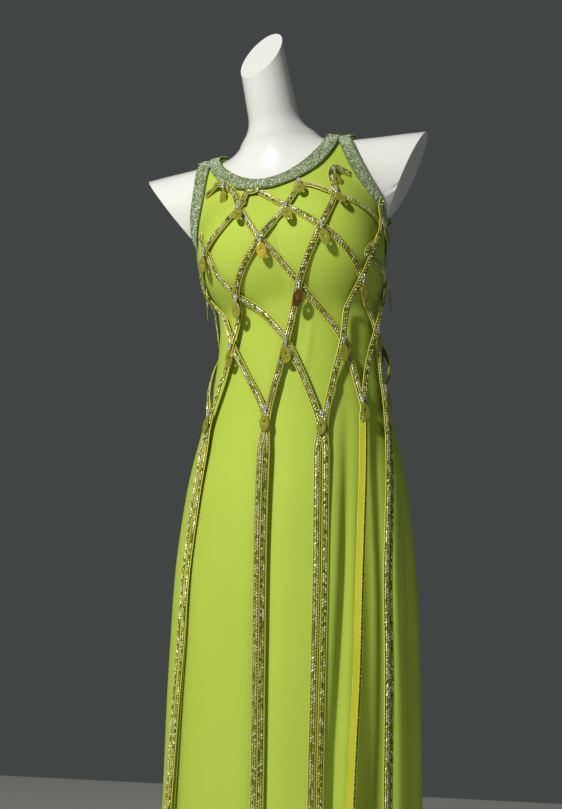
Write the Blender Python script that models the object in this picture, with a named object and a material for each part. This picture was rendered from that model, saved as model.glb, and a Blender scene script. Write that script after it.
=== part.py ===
"""A floor-length sleeveless prom dress, worn by a limbless display form on a pole and round base.

The gown is crepe, cut as a front and two backs that meet at a centre-back zip. A glitter band edges
the neck and each armhole. Sixteen beaded strips cross over the bodice as an open lattice, meet in
pairs below the waist and hang to the hem, with a teardrop at the crossings.
Metres, +Z up. The form faces -Y, its left is +X, and the base stands on the floor at z = 0.
"""

import math

import bmesh
import bpy
import numpy as np

# Driving dimensions
HEM_HEIGHT = 0.012
ARMHOLE_LOW = 1.268
SHOULDER_HEIGHT = 1.452
STRAP_INNER = 0.083
STRAP_SHIFT = 0.0100
STRAP_OUTER = 0.1185
NECK_SHIFT_BACK = 0.004
NECK_FRONT = 0.078
NECK_BACK = 0.062
CLOTH = 0.0015
EASE = 0.0016
SEAM_GAP = 0.0003
BAND_GAP = 0.0020
BAND_WALL = 0.0016
NECK_BAND_WIDTH = 0.0215
NECK_BAND_TAPER = 0.25
ARM_BAND_WIDTH = 0.0165
FORM_LOW = 0.80
FORM_SLIMMING = 0.0100
STUB_TIP = (0.224, 1.452)
STUB_CUT = math.radians(59)
STUB_SQUASH = 1.35
STUB_CUT_LENGTH = 0.142
NECK_CUT_POINT = (0, -0.054, 1.580)
NECK_CUT_NORMAL = (-0.36, -0.73, 0.58)
POLE_RADIUS = 0.0125
BASE_RADIUS = 0.150
BASE_THICKNESS = 0.010
TOUCH_GAP = 0.0003
STRIP_WIDTH = 0.0100
STRIP_WALL = 0.0018
STRIP_LIFT = 0.0032
TOP_LIFT = 0.0012
STRIP_STEPS = 4
STRIP_END = 0.030
PAIR_HALF_PITCH = 0.0064
STREAMER_GAP = 0.0016
STREAMER_LOW = 0.85
STREAMER_ROWS = (1.03, 0.98, 0.93, 0.88, 0.80, 0.68, 0.50, 0.27)
DROP_WIDTH = 0.0147
DROP_LENGTH = 0.026
DROP_TOP = 0.009
DROP_WALL = 0.0016
DROP_GAP = 0.0007
STEM_WIDTH = 0.0026
ZIP_HEIGHT = 1.4125
SLIDER_WIDTH = 0.007
SLIDER_LENGTH = 0.011
SLIDER_WALL = 0.0018
PULL_LENGTH = 0.021
PULL_WIDTH = 0.0052
LEAN_DEGREES = 8.5
LEAN_LOW = 1.11
LEAN_HIGH = 1.30
SIDE_SEAM = math.radians(93)
FOLD_RUN_IN = 0.30
FOLD_STRAIGHT = 0.50
FORM_COLUMNS = 48
BAND_ROWS = 4

# The torso of the form: height, half width, depth in front of the axis, depth behind it
TORSO = np.array(
    [
        (0.76, 0.156, 0.098, 0.110),
        (0.86, 0.166, 0.102, 0.120),
        (0.93, 0.163, 0.104, 0.118),
        (1.02, 0.140, 0.100, 0.098),
        (1.10, 0.114, 0.092, 0.080),
        (1.16, 0.108, 0.088, 0.076),
        (1.24, 0.126, 0.092, 0.090),
        (1.30, 0.140, 0.092, 0.100),
        (1.36, 0.130, 0.078, 0.098),
        (1.42, 0.094, 0.052, 0.074),
        (1.46, 0.052, 0.032, 0.046),
    ]
)

# The gown's own outline below the bust: height, half width, depth in front, depth behind
SKIRT = np.array(
    [
        (0.012, 0.208, 0.180, 0.194),
        (0.250, 0.201, 0.169, 0.182),
        (0.471, 0.1945, 0.160, 0.171),
        (0.690, 0.1885, 0.151, 0.160),
        (0.828, 0.180, 0.142, 0.149),
        (0.918, 0.1665, 0.131, 0.138),
        (1.008, 0.146, 0.117, 0.118),
        (1.090, 0.127, 0.104, 0.098),
        (1.166, 0.1195, 0.098, 0.089),
        (1.230, 0.120, 0.098, 0.088),
        (1.300, 0.104, 0.080, 0.080),
    ]
)

# Troughs of the skirt's folds: angle from the front, half width in degrees, depth, height where it starts,
# degrees that it swings round for each metre above the height where the folds hang straight
FOLDS = np.array(
    [
        (-64.0, 9.0, 0.012, 0.98, 0.0),
        (-24.0, 8.0, 0.004, 1.00, 0.0),
        (-8.0, 7.5, 0.010, 1.16, 0.0),
        (31.5, 4.5, 0.015, 1.10, 24.0),
        (46.0, 7.0, 0.009, 1.08, 6.0),
        (57.0, 8.0, 0.020, 1.06, 0.0),
        (78.0, 4.5, 0.015, 1.00, 0.0),
        (93.0, 11.0, 0.012, 1.12, 0.0),
        (116.0, 7.0, 0.024, 1.02, 0.0),
        (144.0, 7.0, 0.026, 1.02, 0.0),
        (170.0, 6.0, 0.020, 1.00, 0.0),
        (193.0, 6.5, 0.022, 1.00, 0.0),
        (216.0, 7.5, 0.026, 1.02, 0.0),
        (240.0, 7.0, 0.024, 1.02, 0.0),
        (266.0, 8.0, 0.018, 0.98, 0.0),
    ]
)

# An armhole's edge: share of its height, half width, how far back the front and the back edge run
ARMHOLE = np.array(
    [
        (0.00, 0.145, 0.008, 0.008),
        (0.25, 0.1525, -0.002, 0.042),
        (0.50, 0.1425, -0.012, 0.058),
        (0.75, 0.128, -0.014, 0.046),
        (1.00, STRAP_OUTER, 0.000, 0.000),
    ]
)

# Crossings of the lattice: each ring's stand-off from the cloth, then the angle and height of its eight
# crossings, counted round towards +X
CROSSINGS = {
    "A": (
        0.0033,
        [(248, 1.40), (-52.5, 1.396), (-14, 1.367), (24, 1.370)]
        + [(56.5, 1.392), (112, 1.40), (158, 1.410), (202, 1.410)],
    ),
    "B": (
        0.0018,
        [(-82, 1.35), (-26.5, 1.346), (10, 1.336), (44, 1.347)]
        + [(90, 1.36), (135, 1.348), (180, 1.345), (225, 1.348)],
    ),
    "C": (
        0.0046,
        [(244, 1.288), (-46.5, 1.292), (-11, 1.295), (29, 1.299)]
        + [(73, 1.304), (118, 1.290), (158, 1.288), (203, 1.286)],
    ),
    "D": (
        0.0050,
        [(234, 1.225), (-68.5, 1.226), (-34.5, 1.220), (12.5, 1.228)]
        + [(52, 1.232), (97, 1.232), (143, 1.225), (188, 1.222)],
    ),
    "E": (
        0.0090,
        [(212, 1.140), (-98, 1.140), (-45, 1.140), (1, 1.143)]
        + [(43, 1.147), (71, 1.166), (117, 1.156), (163, 1.145)],
    ),
    "F": (
        0.0090,
        [(243, 1.040), (-58.5, 1.041), (-12, 1.043), (26.5, 1.038)]
        + [(54.5, 1.062), (75.5, 1.081), (128, 1.060), (184, 1.045)],
    ),
}
# Each pair of strips, counted as ring F is: its angles at five heights on its way down to the hem
HANG_HEIGHTS = (0.90, 0.80, 0.65, 0.50, 0.03)
HANG_ANGLES = [
    (244.5, 245.6, 247.3, 248.9, 250),
    (-60, -61.5, -62.5, -65.5, -72),
    (-10.5, -9, -7.5, -6.6, -6),
    (24.8, 24, 22.8, 22, 21.5),
    (47, 44, 41.5, 38.5, 34),
    (67, 63, 62, 60.5, 57),
    (127, 126.5, 125.6, 124.7, 124),
    (184.5, 184.8, 185.2, 185.7, 186),
]
# Strips whose upper stretch an armhole cuts off: the angle and height where they leave its band
ARMHOLE_STARTS = {
    "L0": (232, 1.362),
    "L1": (248, 1.310),
    "L5": (83, 1.342),
    "R0": (-57, 1.323),
    "R4": (112, 1.310),
    "R5": (128, 1.362),
}
# Short strips from the neck band to an armhole band: a crossing of ring A, a middle point, the end
SHORT_STRIPS = {
    "right": (1, (-66, 1.411), (-75, 1.402)),
    "left": (4, (62, 1.396), (68, 1.388)),
}
# Crossings that a drop hangs from
DROPS = ["B1", "B2", "B3", "C1", "C2", "C3", "C4", "D1", "D2", "D3", "D4", "D5"]
DROPS += [ring + str(place) for ring in "EF" for place in range(8)]

# Heights of the rows of cloth between the hem and the bottom of the armholes
ROW_HEIGHTS = np.array(
    [HEM_HEIGHT, 0.16, 0.32, 0.46, 0.58, 0.68, 0.76, 0.83, 0.88, 0.93, 0.98, 1.03]
    + [1.07, 1.11, 1.15, 1.19, 1.22, 1.245, ARMHOLE_LOW]
)
YOKE_ROWS = 12
# How many of a panel's strips of faces end on a shoulder seam
SEAM_COLUMNS = 3


def from_table(table, column, height):
    """A column of a section table at any height, on a smooth curve through its rows."""
    z = table[:, 0]
    slope = np.gradient(table[:, column], z)
    h = np.clip(height, z[0], z[-1])
    i = np.clip(np.searchsorted(z, h) - 1, 0, len(z) - 2)
    step = z[i + 1] - z[i]
    t = (h - z[i]) / step
    low, high = table[i, column], table[i + 1, column]
    return (
        (2 * t**3 - 3 * t**2 + 1) * low
        + (t**3 - 2 * t**2 + t) * step * slope[i]
        + (3 * t**2 - 2 * t**3) * high
        + (t**3 - t**2) * step * slope[i + 1]
    )


def joined(a, b, blend):
    """Two distance fields as one body, with a fillet of about the blend's size where they meet."""
    mix = np.clip(0.5 + 0.5 * (b - a) / blend, 0, 1)
    return b + (a - b) * mix - blend * mix * (1 - mix)


def cone_field(p, start, end, start_radius, end_radius):
    """Distance to a round bar between two points whose radius changes along it."""
    start, end = np.array(start), np.array(end)
    axis = end - start
    t = np.clip((p - start) @ axis / (axis @ axis), 0, 1)
    nearest = start + t[..., None] * axis
    return np.linalg.norm(p - nearest, axis=-1) - (start_radius + (end_radius - start_radius) * t)


def ellipsoid_field(p, centre, radii):
    """Distance to an ellipsoid, near enough for a blend."""
    q = (p - np.array(centre)) / np.array(radii)
    k = np.linalg.norm(q, axis=-1)
    return (k - 1) * k / np.maximum(np.linalg.norm(q / np.array(radii), axis=-1), 1e-6)


def torso_field(p):
    z = p[..., 2]
    half_width = from_table(TORSO, 1, z)
    depth = np.where(p[..., 1] < 0, from_table(TORSO, 2, z), from_table(TORSO, 3, z))
    q = np.hypot(p[..., 0] / half_width, p[..., 1] / depth)
    across = (q - 1) * np.hypot(p[..., 0], p[..., 1]) / np.maximum(q, 1e-6)
    above = np.maximum(z - TORSO[-1, 0], 0)
    return np.where(above > 0, np.hypot(np.maximum(across, 0), above), across)


def form_field(p):
    """The display form: torso, bust, shoulder stubs and neck as one smooth body."""
    side = np.abs(p[..., :1])
    mirrored = np.concatenate([side, p[..., 1:]], axis=-1)
    body = joined(
        torso_field(p), ellipsoid_field(mirrored, (0.060, -0.062, 1.282), (0.064, 0.054, 0.072)), 0.050
    )
    flat = np.array([1, STUB_SQUASH, 1])
    stub_start, stub_end = flat * (0.045, 0.008, 1.396), flat * (0.215, 0.046, 1.384)
    body = joined(body, cone_field(flat * mirrored, stub_start, stub_end, 0.056, 0.065), 0.035)
    return joined(body, cone_field(p, (0, 0.016, 1.40), (0, -0.078, 1.655), 0.041, 0.033), 0.042)


def worn_field(p):
    """What the cloth is stretched over: the form, bridged between the two sides of the bust."""
    return joined(form_field(p), ellipsoid_field(p, (0, -0.062, 1.285), (0.080, 0.048, 0.070)), 0.040)


def gradient(field, p):
    """Unit outward direction of a field at each point, and the field's slope there."""
    step = 2e-4
    slopes = [field(p + step * axis) - field(p - step * axis) for axis in np.eye(3)]
    g = np.stack(slopes, axis=-1) / (2 * step)
    slope = np.linalg.norm(g, axis=-1, keepdims=True)
    return g / slope, slope


def settle(p, field=worn_field):
    """Points moved along the field's slope until they lie on its surface, with their normals."""
    p = np.array(p, dtype=float)
    for _ in range(14):
        normal, slope = gradient(field, p)
        p = p - normal * field(p)[..., None] / slope
    return p, gradient(field, p)[0]


def on_rays(angle, height, field):
    """How far from the axis a level ray first leaves a field, for each angle from the front."""
    angle, height = np.broadcast_arrays(np.asarray(angle, float), np.asarray(height, float))
    reach = np.linspace(0.03, 0.24, 60)
    direction = np.stack([np.sin(angle), -np.cos(angle), np.zeros_like(angle)], axis=-1)
    rise = np.stack([np.zeros_like(height), np.zeros_like(height), height], axis=-1)
    along = np.stack([field(rise + r * direction) for r in reach])
    first = np.argmax(along > 0, axis=0)
    low, high = reach[np.maximum(first - 1, 0)], reach[first]
    for _ in range(24):
        middle = (low + high) / 2
        inside = field(rise + middle[..., None] * direction) < 0
        low = np.where(inside, middle, low)
        high = np.where(inside, high, middle)
    return (low + high) / 2


def skirt_envelope(angle, height):
    """Radius of the gown with its folds left out."""
    half_width = from_table(SKIRT, 1, height)
    depth = np.where(np.cos(angle) > 0, from_table(SKIRT, 2, height), from_table(SKIRT, 3, height))
    own = 1 / np.hypot(np.sin(angle) / half_width, np.cos(angle) / depth)
    body = on_rays(angle, height, worn_field) + EASE
    return (own + body + np.hypot(own - body, 0.005)) / 2


def fold_depth(angle, height):
    """How far the folds draw the cloth in: each is a bell across the angle that grows towards the hem."""
    drawn = 0
    for centre, width, depth, start, swing in FOLDS:
        middle = math.radians(centre) + math.radians(swing) * np.maximum(height - FOLD_STRAIGHT, 0)
        turn = np.angle(np.exp(1j * (angle - middle)))
        fall = np.clip((start - height) / FOLD_RUN_IN, 0, 1)
        grown = fall**2 * (3 - 2 * fall) * (0.8 + 0.2 * (start - height) / start)
        drawn = drawn + depth * grown * np.exp(-((turn / math.radians(width)) ** 2))
    return drawn


def gown_radius(angle, height):
    """Radius of the inner side of the cloth below the armholes."""
    return skirt_envelope(angle, height) - fold_depth(angle, height)


def round_points(angle, height, radius):
    return np.stack([radius * np.sin(angle), -radius * np.cos(angle), height + 0 * radius], axis=-1)


def leaned(p):
    """The stance of the form: the chest leans towards -X on a smooth bend above the hips."""
    z = p[..., 2]
    span = LEAN_HIGH - LEAN_LOW
    t = np.clip((z - LEAN_LOW) / span, 0, 1)
    full = math.radians(LEAN_DEGREES)
    turn = full * t**2 * (3 - 2 * t)
    sideways = full * span * (t**3 - t**4 / 2) + np.maximum(z - LEAN_HIGH, 0) * math.sin(full)
    moved = p.copy()
    moved[..., 0] = p[..., 0] * np.cos(turn) - sideways
    moved[..., 2] = z + p[..., 0] * np.sin(turn)
    return moved


def armhole(side, face, v):
    """Half of an armhole's edge on the cloth, v from the underarm to the shoulder; face is -1 in front."""
    share = v**1.2
    seeds = np.stack(
        [
            side * from_table(ARMHOLE, 1, share) - STRAP_SHIFT * share,
            from_table(ARMHOLE, 2 if face < 0 else 3, share),
            ARMHOLE_LOW + (SHOULDER_HEIGHT - ARMHOLE_LOW) * share,
        ],
        axis=-1,
    )
    return settle(seeds)


def neckline(angle):
    """The neck edge on the cloth, an oval seen from above, by angle from the front."""
    depth = np.where(np.cos(angle) > 0, NECK_FRONT, NECK_BACK)
    rise = np.where(np.cos(angle) > 0, 0.055, 0.014)
    shift = NECK_SHIFT_BACK + (STRAP_SHIFT - NECK_SHIFT_BACK) * np.clip(1 + np.cos(angle), 0, 1)
    seeds = np.stack(
        [
            STRAP_INNER * np.sin(angle) - shift,
            -depth * np.cos(angle),
            1.452 - rise * np.abs(np.cos(angle)) ** 1.3,
        ],
        axis=-1,
    )
    return settle(seeds)


def shoulder_seam(side):
    """The shoulder seam's points, from the armhole to the neck edge."""
    outer = armhole(side, -1, np.array([1.0]))[0]
    inner = neckline(np.array([side * SIDE_SEAM]))[0]
    return settle(outer + (inner - outer) * np.linspace(0, 1, SEAM_COLUMNS + 1)[:, None])[0]


def yoke_top(angles, seam_at_start, seam_at_end):
    """The top edge of a panel, from its first column to its last: shoulder seams and neckline."""
    first = SEAM_COLUMNS * seam_at_start
    last = len(angles) - 1 - SEAM_COLUMNS * seam_at_end
    along = np.clip((angles - angles[first]) / (angles[last] - angles[first]), 0, 1)
    edge = neckline(angles[0] + (angles[-1] - angles[0]) * along)[0]
    if seam_at_start:
        edge[: first + 1] = shoulder_seam(np.sign(math.sin(angles[0])))
    if seam_at_end:
        edge[last:] = shoulder_seam(np.sign(math.sin(angles[-1])))[::-1]
    return edge


def yoke(bottom, first, last, top):
    """A sheet stretched between four edges, rows from the bottom edge to the top one, laid on the form."""
    u = np.linspace(0, 1, len(bottom))[None, :, None]
    v = np.linspace(0, 1, len(first))[:, None, None]
    across = (1 - u) * first[:, None] + u * last[:, None]
    upward = (1 - v) * bottom[None] + v * top[None]
    corners = (1 - v) * ((1 - u) * bottom[0] + u * bottom[-1]) + v * ((1 - u) * top[0] + u * top[-1])
    points, normals = settle(across + upward - corners)
    return points + EASE * normals, normals


def grid_normals(points):
    """Outward unit normals of a grid of points whose columns run round the body."""
    up = np.gradient(points, axis=0)
    around = np.gradient(points, axis=1)
    normal = np.cross(around, up)
    return normal / np.linalg.norm(normal, axis=-1, keepdims=True)


def new_material(name, colour, roughness, metallic=0.0):
    material = bpy.data.materials.new(name)
    material.use_nodes = True
    shader = material.node_tree.nodes["Principled BSDF"]
    shader.inputs["Base Color"].default_value = (*colour, 1)
    shader.inputs["Roughness"].default_value = roughness
    shader.inputs["Metallic"].default_value = metallic
    return material


def add_solid(name, points, faces, material):
    """One closed solid from points and faces in any order round each face."""
    mesh = bpy.data.meshes.new(name)
    mesh.from_pydata([tuple(p) for p in np.asarray(points).reshape(-1, 3)], [], faces)
    solid = bmesh.new()
    solid.from_mesh(mesh)
    bmesh.ops.recalc_face_normals(solid, faces=solid.faces)
    solid.to_mesh(mesh)
    solid.free()
    mesh.materials.append(material)
    mesh.shade_smooth()
    mesh.set_sharp_from_angle(angle=math.radians(40))
    thing = bpy.data.objects.new(name, mesh)
    bpy.context.collection.objects.link(thing)
    return thing


def combine(thing, other, operation):
    """Joins another solid into a first one, or cuts it away, and drops the other."""
    step = thing.modifiers.new("step", "BOOLEAN")
    step.operation = operation
    step.object = other
    mesh = bpy.data.meshes.new_from_object(thing.evaluated_get(bpy.context.evaluated_depsgraph_get()))
    thing.modifiers.clear()
    thing.data = mesh
    bpy.data.objects.remove(other)


def grid_faces(rows, columns, start, closed=False):
    """Quads over a grid of points numbered row by row, closed round its columns if asked."""
    last = columns if closed else columns - 1
    return [
        (
            start + r * columns + c,
            start + r * columns + (c + 1) % columns,
            start + (r + 1) * columns + (c + 1) % columns,
            start + (r + 1) * columns + c,
        )
        for r in range(rows - 1)
        for c in range(last)
    ]


def add_wall(name, inner, outer, material, closed=False):
    """A closed wall between an inner and an outer grid of points."""
    rows, columns = inner.shape[:2]
    count = rows * columns
    faces = grid_faces(rows, columns, 0, closed) + grid_faces(rows, columns, count, closed)
    edges = []
    last = columns if closed else columns - 1
    for c in range(last):
        for r in (0, rows - 1):
            edges.append((r * columns + c, r * columns + (c + 1) % columns))
    if not closed:
        for r in range(rows - 1):
            for c in (0, columns - 1):
                edges.append((r * columns + c, (r + 1) * columns + c))
    faces += [(a, b, b + count, a + count) for a, b in edges]
    return add_solid(name, np.concatenate([inner.reshape(-1, 3), outer.reshape(-1, 3)]), faces, material)


def cloth_grid(angles, face, seam_at_start, seam_at_end):
    """The inner side of a panel and its outward normals: level rows up to the armholes, then the yoke."""
    below = [round_points(angles, z, gown_radius(angles, z)) for z in ROW_HEIGHTS]
    v = np.linspace(0, 1, YOKE_ROWS)
    edges = []
    for end, at_armhole in ((0, seam_at_start), (-1, seam_at_end)):
        if at_armhole:
            edges.append(armhole(np.sign(math.sin(angles[end])), face, v)[0])
        else:
            low, high = below[-1][end], neckline(angles[[end]])[0][0]
            edges.append(low + (high - low) * v[:, None])
    upper, upper_normals = yoke(below[-1], edges[0], edges[1], yoke_top(angles, seam_at_start, seam_at_end))
    points = np.concatenate([np.stack(below), upper[1:]])
    normals = grid_normals(points)
    normals[len(below) :] = upper_normals[1:]
    return points, normals


def open_seam(points, normals, axis, toward):
    """Draws edge points back from their seam plane by half the seam's gap, moved out within that plane."""
    points[..., axis] += toward * SEAM_GAP / 2
    normals[..., axis] = 0
    normals /= np.linalg.norm(normals, axis=-1, keepdims=True)


def add_panel(name, angles, face, seam_at_start, seam_at_end, material):
    """A cut panel from hem to shoulder; face is -1 in front and 1 behind."""
    points, normals = cloth_grid(angles, face, seam_at_start, seam_at_end)
    below = len(ROW_HEIGHTS)
    for end, at_side in ((0, seam_at_start), (-1, seam_at_end)):
        if at_side:
            open_seam(points[:below, end], normals[:below, end], 1, face)
        else:
            open_seam(points[:, end], normals[:, end], 0, np.sign(points[5, len(angles) // 2, 0]))
    if seam_at_start:
        points[-1, : SEAM_COLUMNS + 1, 1] += face * SEAM_GAP / 2
    if seam_at_end:
        points[-1, -SEAM_COLUMNS - 1 :, 1] += face * SEAM_GAP / 2
    return add_wall(name, leaned(points), leaned(points + CLOTH * normals), material)


def build_gown():
    crepe = new_material("lime_crepe", (0.42, 0.62, 0.06), 0.55)
    plain = np.linspace(-SIDE_SEAM, math.radians(18), 14)
    folded = np.linspace(math.radians(18), SIDE_SEAM, 20)
    add_panel("gown_front", np.concatenate([plain, folded[1:]]), -1, True, True, crepe)
    back = np.linspace(SIDE_SEAM, math.pi, 17)
    add_panel("gown_back_left", back, 1, True, False, crepe)
    add_panel("gown_back_right", -back[::-1], 1, False, True, crepe)


def ribbon(edge, edge_normals, inward, width, closed=False):
    """A band's points on the form, stepped off an edge line across the cloth, with their normals."""
    points, normals = [edge], [edge_normals]
    ring = np.concatenate([edge[-1:], edge, edge[:1]])
    along = (ring[2:] - ring[:-2]) / 2 if closed else np.gradient(edge, axis=0)
    for _ in range(BAND_ROWS - 1):
        across = inward * np.cross(normals[-1], along)
        across /= np.linalg.norm(across, axis=-1, keepdims=True)
        spot, normal = settle(points[-1] + across * np.reshape(width, (-1, 1)) / (BAND_ROWS - 1))
        points.append(spot)
        normals.append(normal)
    return np.stack(points), np.stack(normals)


def add_band(name, points, normals, material, closed=False):
    inner = points + (EASE + CLOTH + BAND_GAP) * normals
    return add_wall(name, leaned(inner), leaned(inner + BAND_WALL * normals), material, closed)


def build_bands():
    glitter = new_material("glitter_band", (0.30, 0.42, 0.22), 0.35, 0.3)
    angles = np.linspace(-math.pi + 0.006, math.pi - 0.006, 51)
    edge, normals = neckline(angles)
    width = NECK_BAND_WIDTH * (1 - NECK_BAND_TAPER * np.sin(angles) ** 2)
    add_band("neck_band", *ribbon(edge, normals, -1, width), glitter)
    v = np.linspace(0, 1, YOKE_ROWS)
    for name, side in (("armhole_band_left", 1), ("armhole_band_right", -1)):
        halves = [armhole(side, -1, v), armhole(side, 1, v[::-1])]
        edge, normals = (np.concatenate([front[:-1], back[:-1]]) for front, back in zip(*halves))
        add_band(name, *ribbon(edge, normals, side, ARM_BAND_WIDTH, closed=True), glitter, closed=True)


def crossing(name):
    """A crossing's angle, height and stand-off from its ring's letter and its place round the ring."""
    gap, places = CROSSINGS[name[0]]
    angle, height = places[int(name[1]) % 8]
    return math.radians(angle), height, gap


def on_cloth(angle, height, gap, lateral=0.0):
    """Points at a gap off the outer side of the cloth, its folds left out, with the outward normals there."""
    step = 1e-3
    angle = angle + lateral / skirt_envelope(angle, height)
    middle = round_points(angle, height, skirt_envelope(angle, height))
    round_step = round_points(angle + step, height, skirt_envelope(angle + step, height)) - middle
    up_step = round_points(angle, height + step, skirt_envelope(angle, height + step)) - middle
    normal = np.cross(round_step, up_step)
    normal /= np.linalg.norm(normal, axis=-1, keepdims=True)
    return middle + (CLOTH + gap)[..., None] * normal, normal


def curve_through(knots):
    """A smooth curve through rows of values, a few steps between neighbours, each row met exactly."""
    knots = np.array(knots)
    padded = np.concatenate([2 * knots[:1] - knots[1:2], knots, 2 * knots[-1:] - knots[-2:-1]])
    rows = []
    for i in range(len(knots) - 1):
        a, b, c, d = padded[i : i + 4]
        t = np.linspace(0, 1, STRIP_STEPS, endpoint=False)[:, None]
        rows.append(b + 0.5 * t * (c - a + t * (2 * a - 5 * b + 4 * c - d + t * (3 * b - a - 3 * c + d))))
    return np.concatenate(rows + [knots[-1:]])


def add_strip(name, route, material):
    """A flat strip along rows of angle, height, stand-off and sideways shift."""
    spots, normals = on_cloth(*route.T)
    along = np.gradient(spots, axis=0)
    across = np.cross(normals, along)
    across *= STRIP_WIDTH / 2 / np.linalg.norm(across, axis=-1, keepdims=True)
    inner = np.stack([spots - across, spots + across], axis=1)
    return add_wall(name, leaned(inner), leaned(inner + STRIP_WALL * normals[:, None]), material)


def strip_route(family, number):
    """A strip's rows: down the lattice to its pair below the waist, then straight down the skirt."""
    sign = -1 if family == "L" else 1
    shifts = (-1, -1, -1, -1, -2) if family == "L" else (0, 1, 2, 3, 3)
    names = ["A%d" % number] + [ring + str((number + shift) % 8) for ring, shift in zip("BCDEF", shifts)]
    stops = [crossing(name) for name in names]
    key = family + str(number)
    if key in ARMHOLE_STARTS:
        angle, height = ARMHOLE_STARTS[key]
        kept = 1 if key in ("L0", "R5") else 2
        stops = [(math.radians(angle), height, CROSSINGS["A"][0])] + stops[kept:]
    lift = STRIP_LIFT if family == "L" else 0.0
    knots = np.array([(angle, height, gap + lift, 0.0) for angle, height, gap in stops])
    knots[:, 0] = np.unwrap(knots[:, 0])
    knots[0, 2] += TOP_LIFT if family == "L" else 0.0
    knots[-1, 2] -= lift
    knots[-1, 3] = -sign * PAIR_HALF_PITCH
    pair = (number + shifts[-1]) % 8
    first = CROSSINGS["F"][1][pair][0]
    heights = [*HANG_HEIGHTS[::-1], knots[-1, 1]]
    turns = [angle - first for angle in HANG_ANGLES[pair][::-1]] + [0.0]
    rows = [z for z in STREAMER_ROWS if z < knots[-1, 1] - 0.02] + [STRIP_END]
    hang = []
    for z in rows:
        turn = math.radians(np.interp(z, heights, turns))
        fall = np.clip((knots[-1, 1] - z) / (knots[-1, 1] - STREAMER_LOW), 0, 1)
        gap = knots[-1, 2] + (STREAMER_GAP - knots[-1, 2]) * fall
        hang.append((knots[-1, 0] + turn, z, gap, knots[-1, 3]))
    return np.concatenate([curve_through(knots), hang])


def build_lattice():
    beaded = new_material("beaded_strip", (0.28, 0.30, 0.10), 0.35, 0.2)
    for family in "LR":
        for number in range(8):
            add_strip("strip_%s%d" % (family, number), strip_route(family, number), beaded)
    for side, (number, middle, end) in SHORT_STRIPS.items():
        angle, height, gap = crossing("A%d" % number)
        lift = STRIP_LIFT if side == "right" else 0.0
        knots = [(angle, height, gap + lift, 0.0)]
        knots += [(math.radians(a), z, gap + lift, 0.0) for a, z in (middle, end)]
        add_strip("short_strip_" + side, curve_through(knots), beaded)


def drop_outline():
    """A teardrop below its stem, as sideways and downward distances from the crossing."""
    middle = DROP_TOP + DROP_LENGTH - DROP_WIDTH / 2
    turns = np.radians(np.linspace(-50, 230, 9))
    bowl = [(DROP_WIDTH / 2 * math.cos(t), middle + DROP_WIDTH / 2 * math.sin(t)) for t in turns]
    half = STEM_WIDTH / 2
    return [(half, DROP_TOP + 0.002), *bowl, (-half, DROP_TOP + 0.002), (-half, 0.0), (half, 0.0)]


def build_drops():
    acrylic = new_material("drop_acrylic", (0.62, 0.60, 0.12), 0.15)
    outline = np.array(drop_outline())
    for name in DROPS:
        angle, height, gap = crossing(name)
        high = gap + STRIP_WALL + DROP_GAP + (0.0 if name[0] == "F" else STRIP_LIFT)
        spot, normal = on_cloth(np.array([angle]), np.array([height]), np.array([gap]))
        spot, normal = spot[0] + (high - gap) * normal[0], normal[0]
        if normal[2] < 0:
            normal = normal * (1, 1, 0) / np.linalg.norm(normal[:2])
        down = np.array([0, 0, -1.0]) + normal[2] * normal
        down /= np.linalg.norm(down)
        across = np.cross(down, normal)
        inner = spot + outline[:, :1] * across + outline[:, 1:] * down
        points = np.concatenate([inner, inner + DROP_WALL * normal])
        count = len(outline)
        faces = [tuple(range(count)), tuple(range(count, 2 * count))]
        faces += [(i, (i + 1) % count, (i + 1) % count + count, i + count) for i in range(count)]
        add_solid("drop_" + name, leaned(points), faces, acrylic)


def add_block(name, low, high, material):
    """A box between two corners."""
    corners = [(x, y, z) for x in (low[0], high[0]) for y in (low[1], high[1]) for z in (low[2], high[2])]
    faces = [(0, 1, 3, 2), (4, 6, 7, 5), (0, 4, 5, 1), (2, 3, 7, 6), (0, 2, 6, 4), (1, 5, 7, 3)]
    return add_solid(name, corners, faces, material)


def zip_frame():
    """The zip slider's place: a point on the cloth at the centre-back seam, the way out and the way up."""
    spot, normal = on_cloth(np.array([math.pi]), np.array([ZIP_HEIGHT]), np.array([0.0]))
    out = np.array([0, normal[0, 1], normal[0, 2]])
    out /= np.linalg.norm(out)
    return np.array([0, spot[0, 1], spot[0, 2]]), out, np.array([0, -out[2], out[1]])


def set_on_seam(thing):
    """Moves a piece drawn as across, out and up onto the seam, then gives it the form's stance."""
    spot, out, up = zip_frame()
    mesh = thing.data
    drawn = np.array([v.co for v in mesh.vertices])
    placed = leaned(spot + drawn[:, :1] * (1, 0, 0) + drawn[:, 1:2] * out + drawn[:, 2:] * up)
    mesh.vertices.foreach_set("co", placed.ravel())
    mesh.update()


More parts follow.
